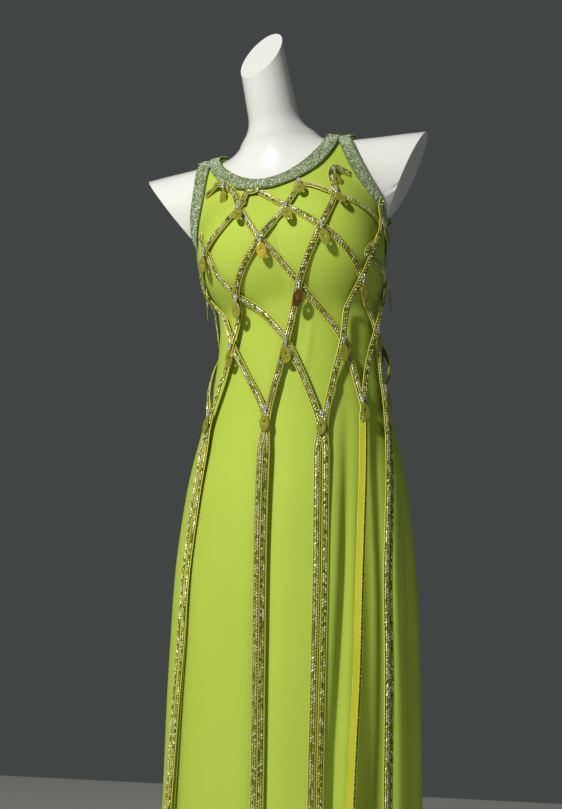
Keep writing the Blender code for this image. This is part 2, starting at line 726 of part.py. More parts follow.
def build_zip():
    """The zip's slider, a plate with an arch, and its pull, whose bar turns under the arch."""
    enamel = new_material("zip_green", (0.40, 0.58, 0.10), 0.35)
    low = TOUCH_GAP
    top = low + SLIDER_WALL
    slider = add_block(
        "zip_slider",
        (-SLIDER_WIDTH / 2, low, -SLIDER_LENGTH / 2),
        (SLIDER_WIDTH / 2, top, SLIDER_LENGTH / 2),
        enamel,
    )
    arch_half, arch_foot, arch_rise, arch_wall = 0.0008, 0.0037, 0.0030, 0.0010
    for sign in (-1, 1):
        ends = sorted((sign * arch_foot, sign * (arch_foot - arch_wall)))
        foot_low = (-arch_half, top - 0.0006, ends[0])
        foot = add_block("foot", foot_low, (arch_half, top + arch_rise - 0.0003, ends[1]), enamel)
        combine(slider, foot, "UNION")
    crown_low = (-arch_half, top + arch_rise - arch_wall, -arch_foot)
    crown = add_block("crown", crown_low, (arch_half, top + arch_rise, arch_foot), enamel)
    combine(slider, crown, "UNION")
    set_on_seam(slider)
    bar, hole_half = 0.0006, 0.0012
    middle = top + (arch_rise - arch_wall) / 2
    half = PULL_WIDTH / 2
    outline = [(-half, -PULL_LENGTH), (half, -PULL_LENGTH), (half, bar), (-half, bar)]
    hole = [(-hole_half, -0.005), (hole_half, -0.005), (hole_half, -bar), (-hole_half, -bar)]
    points = [(x, middle + y, z) for y in (-bar, bar) for x, z in outline + hole]
    faces = []
    for i in range(4):
        j = (i + 1) % 4
        faces += [(i, j, j + 4, i + 4), (i + 8, j + 8, j + 12, i + 12)]
        faces += [(i, j, j + 8, i + 8), (i + 4, j + 4, j + 12, i + 12)]
    pull = add_solid("zip_pull", points, faces, enamel)
    set_on_seam(pull)
    spot, out, up = zip_frame()
    return leaned((spot + middle * out)[None])[0]


def centre_on_base(pin):
    """Moves everything so that the origin is under the middle of the whole object's box; the pull's own
    origin is on its hinge."""
    corners = np.concatenate([[v.co for v in thing.data.vertices] for thing in bpy.data.objects])
    low, high = corners.min(axis=0), corners.max(axis=0)
    shift = np.array([(low[0] + high[0]) / 2, (low[1] + high[1]) / 2, low[2]])
    for thing in bpy.data.objects:
        own_origin = pin - shift if thing.name == "zip_pull" else np.zeros(3)
        moved = np.array([v.co for v in thing.data.vertices]) - shift - own_origin
        thing.data.vertices.foreach_set("co", moved.ravel())
        thing.data.update()
        thing.location = own_origin


def form_rings():
    """Rings of the form's mesh from hip to neck: each one's centre, and the lift of its rays in degrees."""
    table = []
    for z in np.linspace(FORM_LOW - 0.02, 1.25, 7):
        table.append((0.0, z, 0.0))
    for share in np.linspace(0, 1, 11)[1:]:
        table.append((0.0, 1.25 + 0.11 * share, 50 * share))
    for share in np.linspace(0, 1, 7)[1:]:
        table.append((-0.02 * share, 1.36 + 0.13 * share, 50 * (1 - share)))
    for z in np.linspace(1.49, 1.66, 6)[1:]:
        table.append((-0.02 - 0.365 * (z - 1.49), z, 0.0))
    return np.array(table)


def cast(start, direction, field):
    """Where rays from inside a field first leave it."""
    reach = np.linspace(0.01, 0.34, 110)
    outside = np.stack([field(start + r * direction) for r in reach]) > 0
    first = np.argmax(outside, axis=0)
    low, high = reach[np.maximum(first - 1, 0)], reach[first]
    for _ in range(22):
        middle = (low + high) / 2
        within = field(start + middle[..., None] * direction) < 0
        low = np.where(within, middle, low)
        high = np.where(within, high, middle)
    return start + ((low + high) / 2)[..., None] * direction


def slimmed_form(p):
    """The form under the gown is a little slimmer than the cloth, and at its full size at its cut ends."""
    reach = np.abs(p[..., 0])
    below_neck = np.clip((1.52 - p[..., 2]) / 0.05, 0, 1)
    inside_stubs = np.clip((0.215 - reach) / 0.04, 0, 1)
    past_cut = (reach - STUB_TIP[0]) * math.sin(STUB_CUT) - (p[..., 2] - STUB_TIP[1]) * math.cos(STUB_CUT)
    stub_end = np.where(p[..., 2] > 1.29, past_cut - 0.006, -1.0)
    return np.maximum(form_field(p) + FORM_SLIMMING * below_neck * inside_stubs, stub_end)


def cut_flat(thing, point, normal):
    """Cuts a solid with a plane, drops what lies beyond it and closes the cut with a flat face."""
    solid = bmesh.new()
    solid.from_mesh(thing.data)
    everything = solid.verts[:] + solid.edges[:] + solid.faces[:]
    cut = bmesh.ops.bisect_plane(
        solid, geom=everything, plane_co=point, plane_no=normal, clear_outer=True, dist=1e-6
    )
    rim = [g for g in cut["geom_cut"] if isinstance(g, bmesh.types.BMEdge)]
    bmesh.ops.triangle_fill(solid, use_beauty=True, edges=rim)
    bmesh.ops.recalc_face_normals(solid, faces=solid.faces)
    solid.to_mesh(thing.data)
    solid.free()


def cut_stub(form, sign):
    """Cuts the end of a shoulder stub flat, from its upper tip down and in, without reaching the torso."""
    out = np.array([sign * math.sin(STUB_CUT), 0, -math.cos(STUB_CUT)])
    along = np.array([sign * math.cos(STUB_CUT), 0, math.sin(STUB_CUT)])
    tip = np.array([sign * STUB_TIP[0], 0, STUB_TIP[1]])
    corners = []
    for a, o in ((-STUB_CUT_LENGTH, 0), (-STUB_CUT_LENGTH, 0.1), (0.04, 0), (0.04, 0.1)):
        corners += [tip + a * along + o * out + np.array([0, y, 0]) for y in (-0.1, 0.12)]
    faces = [(0, 1, 3, 2), (4, 6, 7, 5), (0, 4, 5, 1), (2, 3, 7, 6), (0, 2, 6, 4), (1, 5, 7, 3)]
    cutter = add_solid("cutter", corners, faces, form.data.materials[0])
    combine(form, cutter, "DIFFERENCE")


def build_form():
    gloss = new_material("gloss_white", (0.86, 0.86, 0.84), 0.25)
    spread = np.linspace(-math.pi, math.pi, FORM_COLUMNS + 1)[:-1]
    angles = spread + 0.22 * np.sin(2 * spread)
    rings = []
    for centre_y, height, lift in form_rings():
        lift = math.radians(lift)
        level = np.stack([np.sin(angles), -np.cos(angles), 0 * angles], axis=-1)
        direction = level * math.cos(lift) + np.array([0, 0, math.sin(lift)])
        start = np.tile([0.0, centre_y, height], (len(angles), 1))
        rings.append(cast(start, direction, slimmed_form))
    points = np.stack(rings)
    rows, columns = points.shape[:2]
    faces = grid_faces(rows, columns, 0, closed=True)
    faces += [tuple(range(columns)), tuple(range((rows - 1) * columns, rows * columns))]
    form = add_solid("form_body", points, faces, gloss)
    for sign in (1, -1):
        cut_stub(form, sign)
    cut_flat(form, NECK_CUT_POINT, NECK_CUT_NORMAL)
    cut_flat(form, (0, 0, FORM_LOW), (0, 0, -1))
    lean_object(form)
    form.data.shade_smooth()
    form.data.set_sharp_from_angle(angle=math.radians(35))


def lean_object(thing):
    count = len(thing.data.vertices)
    flat = np.empty(count * 3)
    thing.data.vertices.foreach_get("co", flat)
    thing.data.vertices.foreach_set("co", leaned(flat.reshape(-1, 3)).ravel())
    thing.data.update()


def add_turned(name, profile, segments, material):
    """A solid turned round the vertical axis from (radius, height) corners, closed on the axis."""
    turns = np.linspace(0, 2 * math.pi, segments, endpoint=False)
    points, faces = [], []
    for radius, height in profile:
        points += [(radius * math.cos(t), radius * math.sin(t), height) for t in turns]
    faces = grid_faces(len(profile), segments, 0, closed=True)
    faces += [tuple(range(segments)), tuple(range((len(profile) - 1) * segments, len(profile) * segments))]
    return add_solid(name, points, faces, material)


def build_stand():
    steel = new_material("brushed_steel", (0.62, 0.62, 0.60), 0.32, 1.0)
    top = BASE_THICKNESS
    add_turned(
        "form_base",
        [
            (BASE_RADIUS, 0.0),
            (BASE_RADIUS, top - 0.003),
            (BASE_RADIUS - 0.003, top),
            (POLE_RADIUS + 0.016, top),
            (POLE_RADIUS + 0.010, top + 0.014),
            (POLE_RADIUS - 0.004, top + 0.014),
        ],
        40,
        steel,
    )
    add_turned(
        "form_pole",
        [(POLE_RADIUS, top + 0.014 + TOUCH_GAP), (POLE_RADIUS, FORM_LOW - TOUCH_GAP)],
        24,
        steel,
    )


def main():
    for thing in list(bpy.data.objects):
        bpy.data.objects.remove(thing)
    build_form()
    build_stand()
    build_gown()
    build_bands()
    build_lattice()
    build_drops()
    pin = build_zip()
    centre_on_base(pin)


main()
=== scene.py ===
import math

import bmesh
import bpy
import numpy as np
from mathutils import Matrix, Vector


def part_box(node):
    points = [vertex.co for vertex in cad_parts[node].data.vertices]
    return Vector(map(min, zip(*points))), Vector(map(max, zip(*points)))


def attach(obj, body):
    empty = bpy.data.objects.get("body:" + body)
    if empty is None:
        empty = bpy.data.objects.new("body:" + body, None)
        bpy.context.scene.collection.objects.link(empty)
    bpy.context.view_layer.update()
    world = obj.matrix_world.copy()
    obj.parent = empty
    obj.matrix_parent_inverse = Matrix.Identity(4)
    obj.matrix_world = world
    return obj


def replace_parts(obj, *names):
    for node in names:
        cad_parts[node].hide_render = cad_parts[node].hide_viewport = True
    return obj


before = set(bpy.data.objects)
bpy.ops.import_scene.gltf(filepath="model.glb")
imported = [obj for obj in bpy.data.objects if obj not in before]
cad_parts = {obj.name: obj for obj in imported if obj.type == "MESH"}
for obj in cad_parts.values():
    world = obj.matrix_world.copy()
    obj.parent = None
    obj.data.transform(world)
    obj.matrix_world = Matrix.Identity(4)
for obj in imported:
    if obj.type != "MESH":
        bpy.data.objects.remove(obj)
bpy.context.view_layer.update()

# The display form: a limbless torso of glass fibre, moulded in one piece with its neck and shoulder
# stubs and sprayed glossy white. The neck and both stubs end in flat slanted faces, and the hip
# stands on the pole.
pole_low, pole_high = (np.array(corner, dtype=float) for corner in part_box("form_pole"))
stand_axis = (pole_low + pole_high) / 2 * (1, 1, 0)

# Height, half width, depth in front of the stand's axis, depth behind it
torso_sections = np.array(
    [
        (0.76, 0.156, 0.098, 0.110),
        (0.86, 0.166, 0.102, 0.120),
        (0.93, 0.163, 0.104, 0.118),
        (1.02, 0.140, 0.100, 0.098),
        (1.10, 0.114, 0.092, 0.080),
        (1.16, 0.108, 0.088, 0.076),
        (1.24, 0.126, 0.092, 0.090),
        (1.30, 0.140, 0.092, 0.100),
        (1.36, 0.130, 0.078, 0.098),
        (1.42, 0.094, 0.052, 0.074),
        (1.46, 0.052, 0.032, 0.046),
    ]
)
stub_tip = (0.224, 1.452)
stub_slant = math.radians(59)
stub_flattening = 1.35
neck_cut_point = (0, -0.054, 1.580)
neck_cut_normal = (-0.36, -0.73, 0.58)
hip_height = 0.80
slimmer_by = 0.0015
chest_lean = math.radians(8.5)
lean_from, lean_to = 1.11, 1.30


def section_at(table, column, height):
    """A column of a section table at any height: a cubic through its rows, level slopes averaged."""
    z = table[:, 0]
    slope = np.gradient(table[:, column], z)
    h = np.clip(height, z[0], z[-1])
    i = np.clip(np.searchsorted(z, h) - 1, 0, len(z) - 2)
    step = z[i + 1] - z[i]
    t = (h - z[i]) / step
    low, high = table[i, column], table[i + 1, column]
    return (
        (2 * t**3 - 3 * t**2 + 1) * low
        + (t**3 - 2 * t**2 + t) * step * slope[i]
        + (3 * t**2 - 2 * t**3) * high
        + (t**3 - t**2) * step * slope[i + 1]
    )


def filleted(a, b, blend):
    """Smooth minimum of two distance fields, which leaves a fillet where they meet."""
    mix = np.clip(0.5 + 0.5 * (b - a) / blend, 0, 1)
    return b + (a - b) * mix - blend * mix * (1 - mix)


def bar_field(p, start, end, start_radius, end_radius):
    """Distance to a round bar: length of p less its nearest point on the axis, less the radius there."""
    start, end = np.array(start), np.array(end)
    axis = end - start
    t = np.clip((p - start) @ axis / (axis @ axis), 0, 1)
    nearest = start + t[..., None] * axis
    return np.linalg.norm(p - nearest, axis=-1) - (start_radius + (end_radius - start_radius) * t)


def egg_field(p, centre, radii):
    """Distance to an ellipsoid, from the scaled length and its own slope."""
    q = (p - np.array(centre)) / np.array(radii)
    k = np.linalg.norm(q, axis=-1)
    return (k - 1) * k / np.maximum(np.linalg.norm(q / np.array(radii), axis=-1), 1e-6)


def torso_field(p):
    """Distance to the stack of oval torso sections, closed by a dome on the last one."""
    z = p[..., 2]
    half_width = section_at(torso_sections, 1, z)
    front, back = section_at(torso_sections, 2, z), section_at(torso_sections, 3, z)
    depth = np.where(p[..., 1] < 0, front, back)
    q = np.hypot(p[..., 0] / half_width, p[..., 1] / depth)
    across = (q - 1) * np.hypot(p[..., 0], p[..., 1]) / np.maximum(q, 1e-6)
    above = np.maximum(z - torso_sections[-1, 0], 0)
    return np.where(above > 0, np.hypot(np.maximum(across, 0), above), across)


def form_field(p):
    """Torso, bust, stubs and neck as one filleted body."""
    mirrored = np.concatenate([np.abs(p[..., :1]), p[..., 1:]], axis=-1)
    bust = egg_field(mirrored, (0.060, -0.062, 1.282), (0.064, 0.054, 0.072))
    flat = np.array([1, stub_flattening, 1])
    stub_root, stub_end = flat * (0.045, 0.008, 1.396), flat * (0.215, 0.046, 1.384)
    stub = bar_field(flat * mirrored, stub_root, stub_end, 0.056, 0.065)
    neck = bar_field(p, (0, 0.016, 1.40), (0, -0.078, 1.655), 0.041, 0.033)
    return filleted(filleted(filleted(torso_field(p), bust, 0.050), stub, 0.035), neck, 0.042)


def moulded_field(p):
    """The form slimmed a little under the gown and ended a little past the cut of each stub."""
    reach = np.abs(p[..., 0])
    covered = np.clip((1.47 - p[..., 2]) / 0.04, 0, 1) * np.clip((0.19 - reach) / 0.04, 0, 1)
    beyond, above = reach - stub_tip[0], p[..., 2] - stub_tip[1]
    past_cut = beyond * math.sin(stub_slant) - above * math.cos(stub_slant)
    stub_end = np.where(p[..., 2] > 1.29, past_cut - 0.004, -1.0)
    return np.maximum(form_field(p) + slimmer_by * covered, stub_end)


def cast(start, direction, field, reach):
    """Where rays from inside a field first leave it, found by steps and then by halving."""
    outside = np.stack([field(start + r * direction) for r in reach]) > 0
    first = np.argmax(outside, axis=0)
    low, high = reach[np.maximum(first - 1, 0)], reach[first]
    for _ in range(22):
        middle = (low + high) / 2
        within = field(start + middle[..., None] * direction) < 0
        low = np.where(within, middle, low)
        high = np.where(within, high, middle)
    return (low + high) / 2


def leaned(p):
    """The stance: the chest turns towards -X on a smooth bend above the hips, then stays straight."""
    z = p[..., 2]
    span = lean_to - lean_from
    t = np.clip((z - lean_from) / span, 0, 1)
    turn = chest_lean * t**2 * (3 - 2 * t)
    sideways = chest_lean * span * (t**3 - t**4 / 2) + np.maximum(z - lean_to, 0) * math.sin(chest_lean)
    moved = p.copy()
    moved[..., 0] = p[..., 0] * np.cos(turn) - sideways
    moved[..., 2] = z + p[..., 0] * np.sin(turn)
    return moved


def placed(p):
    """Points drawn about the stand's axis, given the stance and set in the frame."""
    return leaned(p) + stand_axis


def quads(rows, columns, closed=False):
    """Faces over a grid of points numbered row by row, closed round its columns if asked."""
    r, c = np.meshgrid(np.arange(rows - 1), np.arange(columns if closed else columns - 1), indexing="ij")
    after = (c + 1) % columns
    low, high = r * columns, (r + 1) * columns
    faces = np.stack([low + c, low + after, high + after, high + c])
    return faces.reshape(4, -1).T


def new_piece(name, points, faces, materials, sharp=40):
    """A smooth mesh object with its faces turned out, at the frame's origin."""
    mesh = bpy.data.meshes.new(name)
    mesh.from_pydata(np.asarray(points).reshape(-1, 3).tolist(), [], [list(map(int, f)) for f in faces])
    shell = bmesh.new()
    shell.from_mesh(mesh)
    bmesh.ops.recalc_face_normals(shell, faces=shell.faces)
    shell.to_mesh(mesh)
    shell.free()
    for material in materials:
        mesh.materials.append(material)
    mesh.shade_smooth()
    mesh.set_sharp_from_angle(angle=math.radians(sharp))
    piece = bpy.data.objects.new(name, mesh)
    bpy.context.collection.objects.link(piece)
    return piece


def ring_rays(columns):
    """Rays for the form's rings: level at the hips, lifted to 50 degrees at the shoulders, level again."""
    low = np.linspace(hip_height - 0.02, 1.25, 44)
    share = np.linspace(0, 1, 64)[1:]
    neck = np.linspace(0, 0.17, 31)[1:]
    centre_y = np.concatenate([0 * low, 0 * share, -0.02 * share[::2], -0.02 - 0.365 * neck])
    height = np.concatenate([low, 1.25 + 0.11 * share, 1.36 + 0.13 * share[::2], 1.49 + neck])
    lift = np.radians(np.concatenate([0 * low, 50 * share, 50 * (1 - share[::2]), 0 * neck]))
    spread = np.linspace(-math.pi, math.pi, columns + 1)[:-1]
    turn = spread + 0.22 * np.sin(2 * spread)
    start = np.stack([0 * height, centre_y, height], axis=-1)[:, None] + np.zeros((1, columns, 1))
    level = np.stack([np.sin(turn), -np.cos(turn), 0 * turn], axis=-1)[None]
    return start, level * np.cos(lift)[:, None, None] + np.sin(lift)[:, None, None] * np.array([0, 0, 1.0])


def trimmed(piece, corners):
    """Cuts a box of eight corners away from a piece."""
    box = [(0, 1, 3, 2), (4, 6, 7, 5), (0, 4, 5, 1), (2, 3, 7, 6), (0, 2, 6, 4), (1, 5, 7, 3)]
    cutter = new_piece("cutter", corners, box, piece.data.materials[:])
    step = piece.modifiers.new("cut", "BOOLEAN")
    step.operation = "DIFFERENCE"
    step.object = cutter
    cut = bpy.data.meshes.new_from_object(piece.evaluated_get(bpy.context.evaluated_depsgraph_get()))
    piece.modifiers.clear()
    piece.data = cut
    bpy.data.objects.remove(cutter)


def cut_plane(piece, point, normal):
    """Cuts a piece with a plane, drops what lies beyond it and fills the cut."""
    shell = bmesh.new()
    shell.from_mesh(piece.data)
    everything = shell.verts[:] + shell.edges[:] + shell.faces[:]
    cut = bmesh.ops.bisect_plane(
        shell, geom=everything, plane_co=point, plane_no=normal, clear_outer=True, dist=1e-6
    )
    rim = [g for g in cut["geom_cut"] if isinstance(g, bmesh.types.BMEdge)]
    bmesh.ops.triangle_fill(shell, use_beauty=True, edges=rim)
    bmesh.ops.recalc_face_normals(shell, faces=shell.faces)
    shell.to_mesh(piece.data)
    shell.free()


def shader_of(name, roughness, metallic=0.0, **inputs):
    """A material with a plain Principled shader; its other sockets are named with underscores."""
    material = bpy.data.materials.new(name)
    material.use_nodes = True
    shader = material.node_tree.nodes["Principled BSDF"]
    shader.inputs["Roughness"].default_value = roughness
    shader.inputs["Metallic"].default_value = metallic
    for socket, value in inputs.items():
        shader.inputs[socket.replace("_", " ")].default_value = value
    return material, material.node_tree.nodes, material.node_tree.links, shader


def noise_of(wiring, scale, detail=2.0):
    """Noise in the piece's own coordinates."""
    nodes, links, _ = wiring
    where = nodes.new("ShaderNodeTexCoord")
    noise = nodes.new("ShaderNodeTexNoise")
    noise.inputs["Scale"].default_value = scale
    noise.inputs["Detail"].default_value = detail
    links.new(where.outputs["Object"], noise.inputs["Vector"])
    return noise.outputs["Fac"]


def dyed(wiring, source, *stops):
    """Base colour: a source's value along a ramp of stops, each a position and a colour."""
    nodes, links, shader = wiring
    ramp = nodes.new("ShaderNodeValToRGB")
    elements = ramp.color_ramp.elements
    while len(elements) < len(stops):
        elements.new(0.5)
    for element, (position, colour) in zip(elements, stops):
        element.position = position
        element.color = (*colour, 1)
    links.new(source, ramp.inputs["Fac"])
    links.new(ramp.outputs["Color"], shader.inputs["Base Color"])


def bumped(wiring, source, strength, distance):
    """Bump: a source's value as a height."""
    nodes, links, shader = wiring
    bump = nodes.new("ShaderNodeBump")
    bump.inputs["Strength"].default_value = strength
    bump.inputs["Distance"].default_value = distance
    links.new(source, bump.inputs["Height"])
    links.new(bump.outputs["Normal"], shader.inputs["Normal"])


gloss, *wiring = shader_of("form_gloss", 0.22, Coat_Weight=0.5, Coat_Roughness=0.08)
dyed(wiring, noise_of(wiring, 6.0, 3.0), (0, (0.80, 0.80, 0.775)), (1, (0.86, 0.86, 0.84)))
bumped(wiring, noise_of(wiring, 22.0), 0.05, 0.002)

start, direction = ring_rays(224)
reach = np.linspace(0.01, 0.34, 110)
form_points = start + cast(start, direction, moulded_field, reach)[..., None] * direction
rings, columns = form_points.shape[:2]
form_faces = quads(rings, columns, closed=True).tolist()
form_faces += [list(range(columns)), list(range((rings - 1) * columns, rings * columns))]
display_form = new_piece("display_form", form_points, form_faces, [gloss])
for side in (1, -1):
    out = np.array([side * math.sin(stub_slant), 0, -math.cos(stub_slant)])
    along = np.array([side * math.cos(stub_slant), 0, math.sin(stub_slant)])
    tip = np.array([side * stub_tip[0], 0, stub_tip[1]])
    trimmed(
        display_form,
        [
            tip + a * along + o * out + np.array([0, y, 0])
            for a in (-0.146, 0.04)
            for o in (0, 0.1)
            for y in (-0.1, 0.12)
        ],
    )
cut_plane(display_form, neck_cut_point, neck_cut_normal)
cut_plane(display_form, (0, 0, hip_height), (0, 0, -1))
drawn = np.empty(len(display_form.data.vertices) * 3)
display_form.data.vertices.foreach_get("co", drawn)
display_form.data.vertices.foreach_set("co", placed(drawn.reshape(-1, 3)).ravel())
display_form.data.shade_smooth()
display_form.data.set_sharp_from_angle(angle=math.radians(38))
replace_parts(display_form, "form_body")
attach(display_form, "gown")

# The stand: a steel tube and a round turned base plate with a hub, brushed and lacquered. The tube is
# pushed into the hub and up into the form.
steel, nodes, links, shader = shader_of("stand_steel", 0.30, 1.0, Base_Color=(0.60, 0.60, 0.59, 1))
where = nodes.new("ShaderNodeTexCoord")
stretch = nodes.new("ShaderNodeMapping")
stretch.inputs["Scale"].default_value = (40, 40, 900)
brushing = nodes.new("ShaderNodeTexNoise")
brushing.inputs["Scale"].default_value = 1.0
shine = nodes.new("ShaderNodeMapRange")
shine.inputs["To Min"].default_value = 0.22
shine.inputs["To Max"].default_value = 0.42
links.new(where.outputs["Object"], stretch.inputs["Vector"])
links.new(stretch.outputs["Vector"], brushing.inputs["Vector"])
links.new(brushing.outputs["Fac"], shine.inputs["Value"])
links.new(shine.outputs["Result"], shader.inputs["Roughness"])
for node in ("form_pole", "form_base"):
    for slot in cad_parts[node].material_slots:
        slot.material = steel

# The gown: lime-green crepe cut as a front and two backs, sewn at the sides and shoulders and closed at
# the centre back by a zip. It fits the form down to the hip and falls from there in soft folds to a
# narrow hem just above the floor.
hem_height = 0.012
underarm = 1.268
shoulder = 1.452
strap_inner, strap_outer = 0.083, 0.1185
# How far the straps and the neck opening sit towards -X, and the neck's centre back
strap_shift, neck_shift_back = 0.0100, 0.004
neck_front, neck_back = 0.078, 0.062
# How far the neck's edge drops below the shoulder in front and behind
neck_drop_front, neck_drop_back = 0.055, 0.014
cloth_wall = 0.0015
cloth_ease = 0.0016
seam_gap = 0.0003
outline_fillet = 0.005
fold_onset = 0.30
shoulder_seam_share = 0.094
side_seam = math.radians(93)

# The gown's outline with its folds left out: height, half width, depth in front, depth behind
gown_sections = np.array(
    [
        (0.012, 0.208, 0.180, 0.194),
        (0.250, 0.201, 0.169, 0.182),
        (0.471, 0.1945, 0.160, 0.171),
        (0.690, 0.1885, 0.151, 0.160),
        (0.828, 0.180, 0.142, 0.149),
        (0.918, 0.1665, 0.131, 0.138),
        (1.008, 0.146, 0.117, 0.118),
        (1.090, 0.127, 0.104, 0.098),
        (1.166, 0.1195, 0.098, 0.089),
        (1.230, 0.120, 0.098, 0.088),
        (1.300, 0.104, 0.080, 0.080),
    ]
)
# Troughs of the folds: angle from the front, half width in degrees, depth, height where each starts,
# degrees that it swings round for each metre above half a metre
fold_troughs = np.array(
    [
        (-64.0, 9.0, 0.012, 0.98, 0.0),
        (-24.0, 8.0, 0.004, 1.00, 0.0),
        (-8.0, 7.5, 0.010, 1.16, 0.0),
        (31.5, 4.5, 0.015, 1.10, 24.0),
        (46.0, 7.0, 0.009, 1.08, 6.0),
        (57.0, 8.8, 0.024, 1.06, 0.0),
        (78.0, 4.5, 0.015, 1.00, 0.0),
        (93.0, 11.0, 0.0075, 1.10, 0.0),
        (116.0, 7.0, 0.024, 1.02, 0.0),
        (144.0, 7.0, 0.026, 1.02, 0.0),
        (170.0, 6.0, 0.020, 1.00, 0.0),
        (193.0, 6.5, 0.022, 1.00, 0.0),
        (216.0, 7.5, 0.026, 1.02, 0.0),
        (240.0, 7.0, 0.024, 1.02, 0.0),
        (266.0, 8.0, 0.018, 0.98, 0.0),
    ]
)
# An armhole's edge: share of its height, half width, how far back its front and its back half run
armhole_edge = np.array(
    [
        (0.00, 0.145, 0.008, 0.008),
        (0.25, 0.1525, -0.002, 0.042),
        (0.50, 0.1425, -0.012, 0.058),
        (0.75, 0.128, -0.014, 0.046),
        (1.00, strap_outer, 0.000, 0.000),
    ]
)
# Soft drag lines in the cloth: angle and height of the middle, slope in degrees per metre of height,
# half width in degrees, half length, height of the ridge
drag_lines = np.array(
    [
        (-38.0, 1.02, -60.0, 3.5, 0.060, 0.0016),
        (-30.0, 0.96, -50.0, 3.0, 0.070, -0.0014),
        (17.0, 1.13, 90.0, 3.0, 0.040, 0.0014),
        (10.0, 1.19, -80.0, 3.0, 0.045, 0.0010),
        (-12.0, 1.10, 70.0, 4.0, 0.050, 0.0010),
        (-52.0, 1.16, 60.0, 3.5, 0.040, 0.0012),
        (150.0, 1.12, 80.0, 4.0, 0.050, 0.0014),
        (205.0, 1.10, -80.0, 4.0, 0.050, 0.0014),
    ]
)


def worn_field(p):
    """The form with its bust bridged, which is what the cloth is stretched over."""
    return filleted(form_field(p), egg_field(p, (0, -0.062, 1.285), (0.080, 0.048, 0.070)), 0.040)


def slope_of(field, p):
    """Unit outward direction of a field at each point and the slope there, by central differences."""
    step = 2e-4
    rises = [field(p + step * axis) - field(p - step * axis) for axis in np.eye(3)]
    g = np.stack(rises, axis=-1) / (2 * step)
    slope = np.linalg.norm(g, axis=-1, keepdims=True)
    return g / slope, slope


def settled(p):
    """Points moved along the worn field's slope until they lie on its surface, with their normals."""
    p = np.array(p, dtype=float)
    for _ in range(14):
        normal, slope = slope_of(worn_field, p)
        p = p - normal * worn_field(p)[..., None] / slope
    return p, slope_of(worn_field, p)[0]


def turned(angle, height, radius):
    """Points at an angle from the front, a height and a radius."""
    return np.stack([radius * np.sin(angle), -radius * np.cos(angle), height + 0 * radius], axis=-1)


def envelope(angle, height):
    """Radius of the gown without folds: the larger of its own outline and the form, filleted."""
    angle, height = np.broadcast_arrays(np.asarray(angle, float), np.asarray(height, float))
    half_width = section_at(gown_sections, 1, height)
    front, back = section_at(gown_sections, 2, height), section_at(gown_sections, 3, height)
    own = 1 / np.hypot(np.sin(angle) / half_width, np.cos(angle) / np.where(np.cos(angle) > 0, front, back))
    start = np.stack([0 * height, 0 * height, height], axis=-1)
    level = np.stack([np.sin(angle), -np.cos(angle), 0 * angle], axis=-1)
    body = cast(start, level, worn_field, np.linspace(0.03, 0.24, 60)) + cloth_ease
    return (own + body + np.hypot(own - body, outline_fillet)) / 2


def bell(angle, centre, width):
    """A bell curve over the angle round the body, in radians."""
    away = np.angle(np.exp(1j * (angle - centre)))
    return np.exp(-((away / width) ** 2))


def cloth_radius(angle, height):
    """The inner side of the cloth below the armholes: the envelope less its folds, plus its drag lines."""
    radius = envelope(angle, height)
    for centre, width, depth, top, swing in fold_troughs:
        fall = np.clip((top - height) / fold_onset, 0, 1)
        grown = fall**2 * (3 - 2 * fall) * (0.8 + 0.2 * (top - height) / top)
        line = np.radians(centre + swing * np.maximum(height - 0.5, 0))
        radius = radius - depth * grown * bell(angle, line, math.radians(width))
    for centre, middle, slant, width, length, ridge in drag_lines:
        line = np.radians(centre + slant * (height - middle))
        fade = np.exp(-(((height - middle) / length) ** 2))
        radius = radius + ridge * fade * bell(angle, line, math.radians(width))
    return radius


def armhole_line(side, face, v):
    """Half of an armhole's edge on the cloth, v from the underarm to the shoulder; face is -1 in front."""
    share = v**1.2
    seeds = [
        side * section_at(armhole_edge, 1, share) - strap_shift * share,
        section_at(armhole_edge, 2 if face < 0 else 3, share),
        underarm + (shoulder - underarm) * share,
    ]
    return settled(np.stack(seeds, axis=-1))


def neck_line(angle):
    """The neck's edge on the cloth: an oval seen from above that drops towards the front."""
    front = np.cos(angle) > 0
    shift = neck_shift_back + (strap_shift - neck_shift_back) * np.clip(1 + np.cos(angle), 0, 1)
    seeds = [
        strap_inner * np.sin(angle) - shift,
        -np.where(front, neck_front, neck_back) * np.cos(angle),
        shoulder - np.where(front, neck_drop_front, neck_drop_back) * np.abs(np.cos(angle)) ** 1.3,
    ]
    return settled(np.stack(seeds, axis=-1))


def panel_top(angles, at_start, at_end):
    """A panel's top edge: a tenth of its columns on each shoulder seam and the rest on the neck edge."""
    count = len(angles)
    first = round(shoulder_seam_share * count) * at_start
    last = count - 1 - round(shoulder_seam_share * count) * at_end
    along = np.clip((angles - angles[first]) / (angles[last] - angles[first]), 0, 1)
    edge = neck_line(angles[0] + (angles[-1] - angles[0]) * along)[0]
    for wanted, columns, side in (
        (at_start, np.arange(first + 1), np.sign(math.sin(angles[0]))),
        (at_end, np.arange(count - 1, last - 1, -1), np.sign(math.sin(angles[-1]))),
    ):
        if wanted:
            outer = armhole_line(side, -1, np.array([1.0]))[0]
            inner = neck_line(np.array([side * side_seam]))[0]
            edge[columns] = settled(outer + (inner - outer) * np.linspace(0, 1, len(columns))[:, None])[0]
    return edge, first, last


def grid_out(points):
    """Outward unit normals of a grid: the cross product of its steps round the body and up."""
    normal = np.cross(np.gradient(points, axis=1), np.gradient(points, axis=0))
    return normal / np.linalg.norm(normal, axis=-1, keepdims=True)


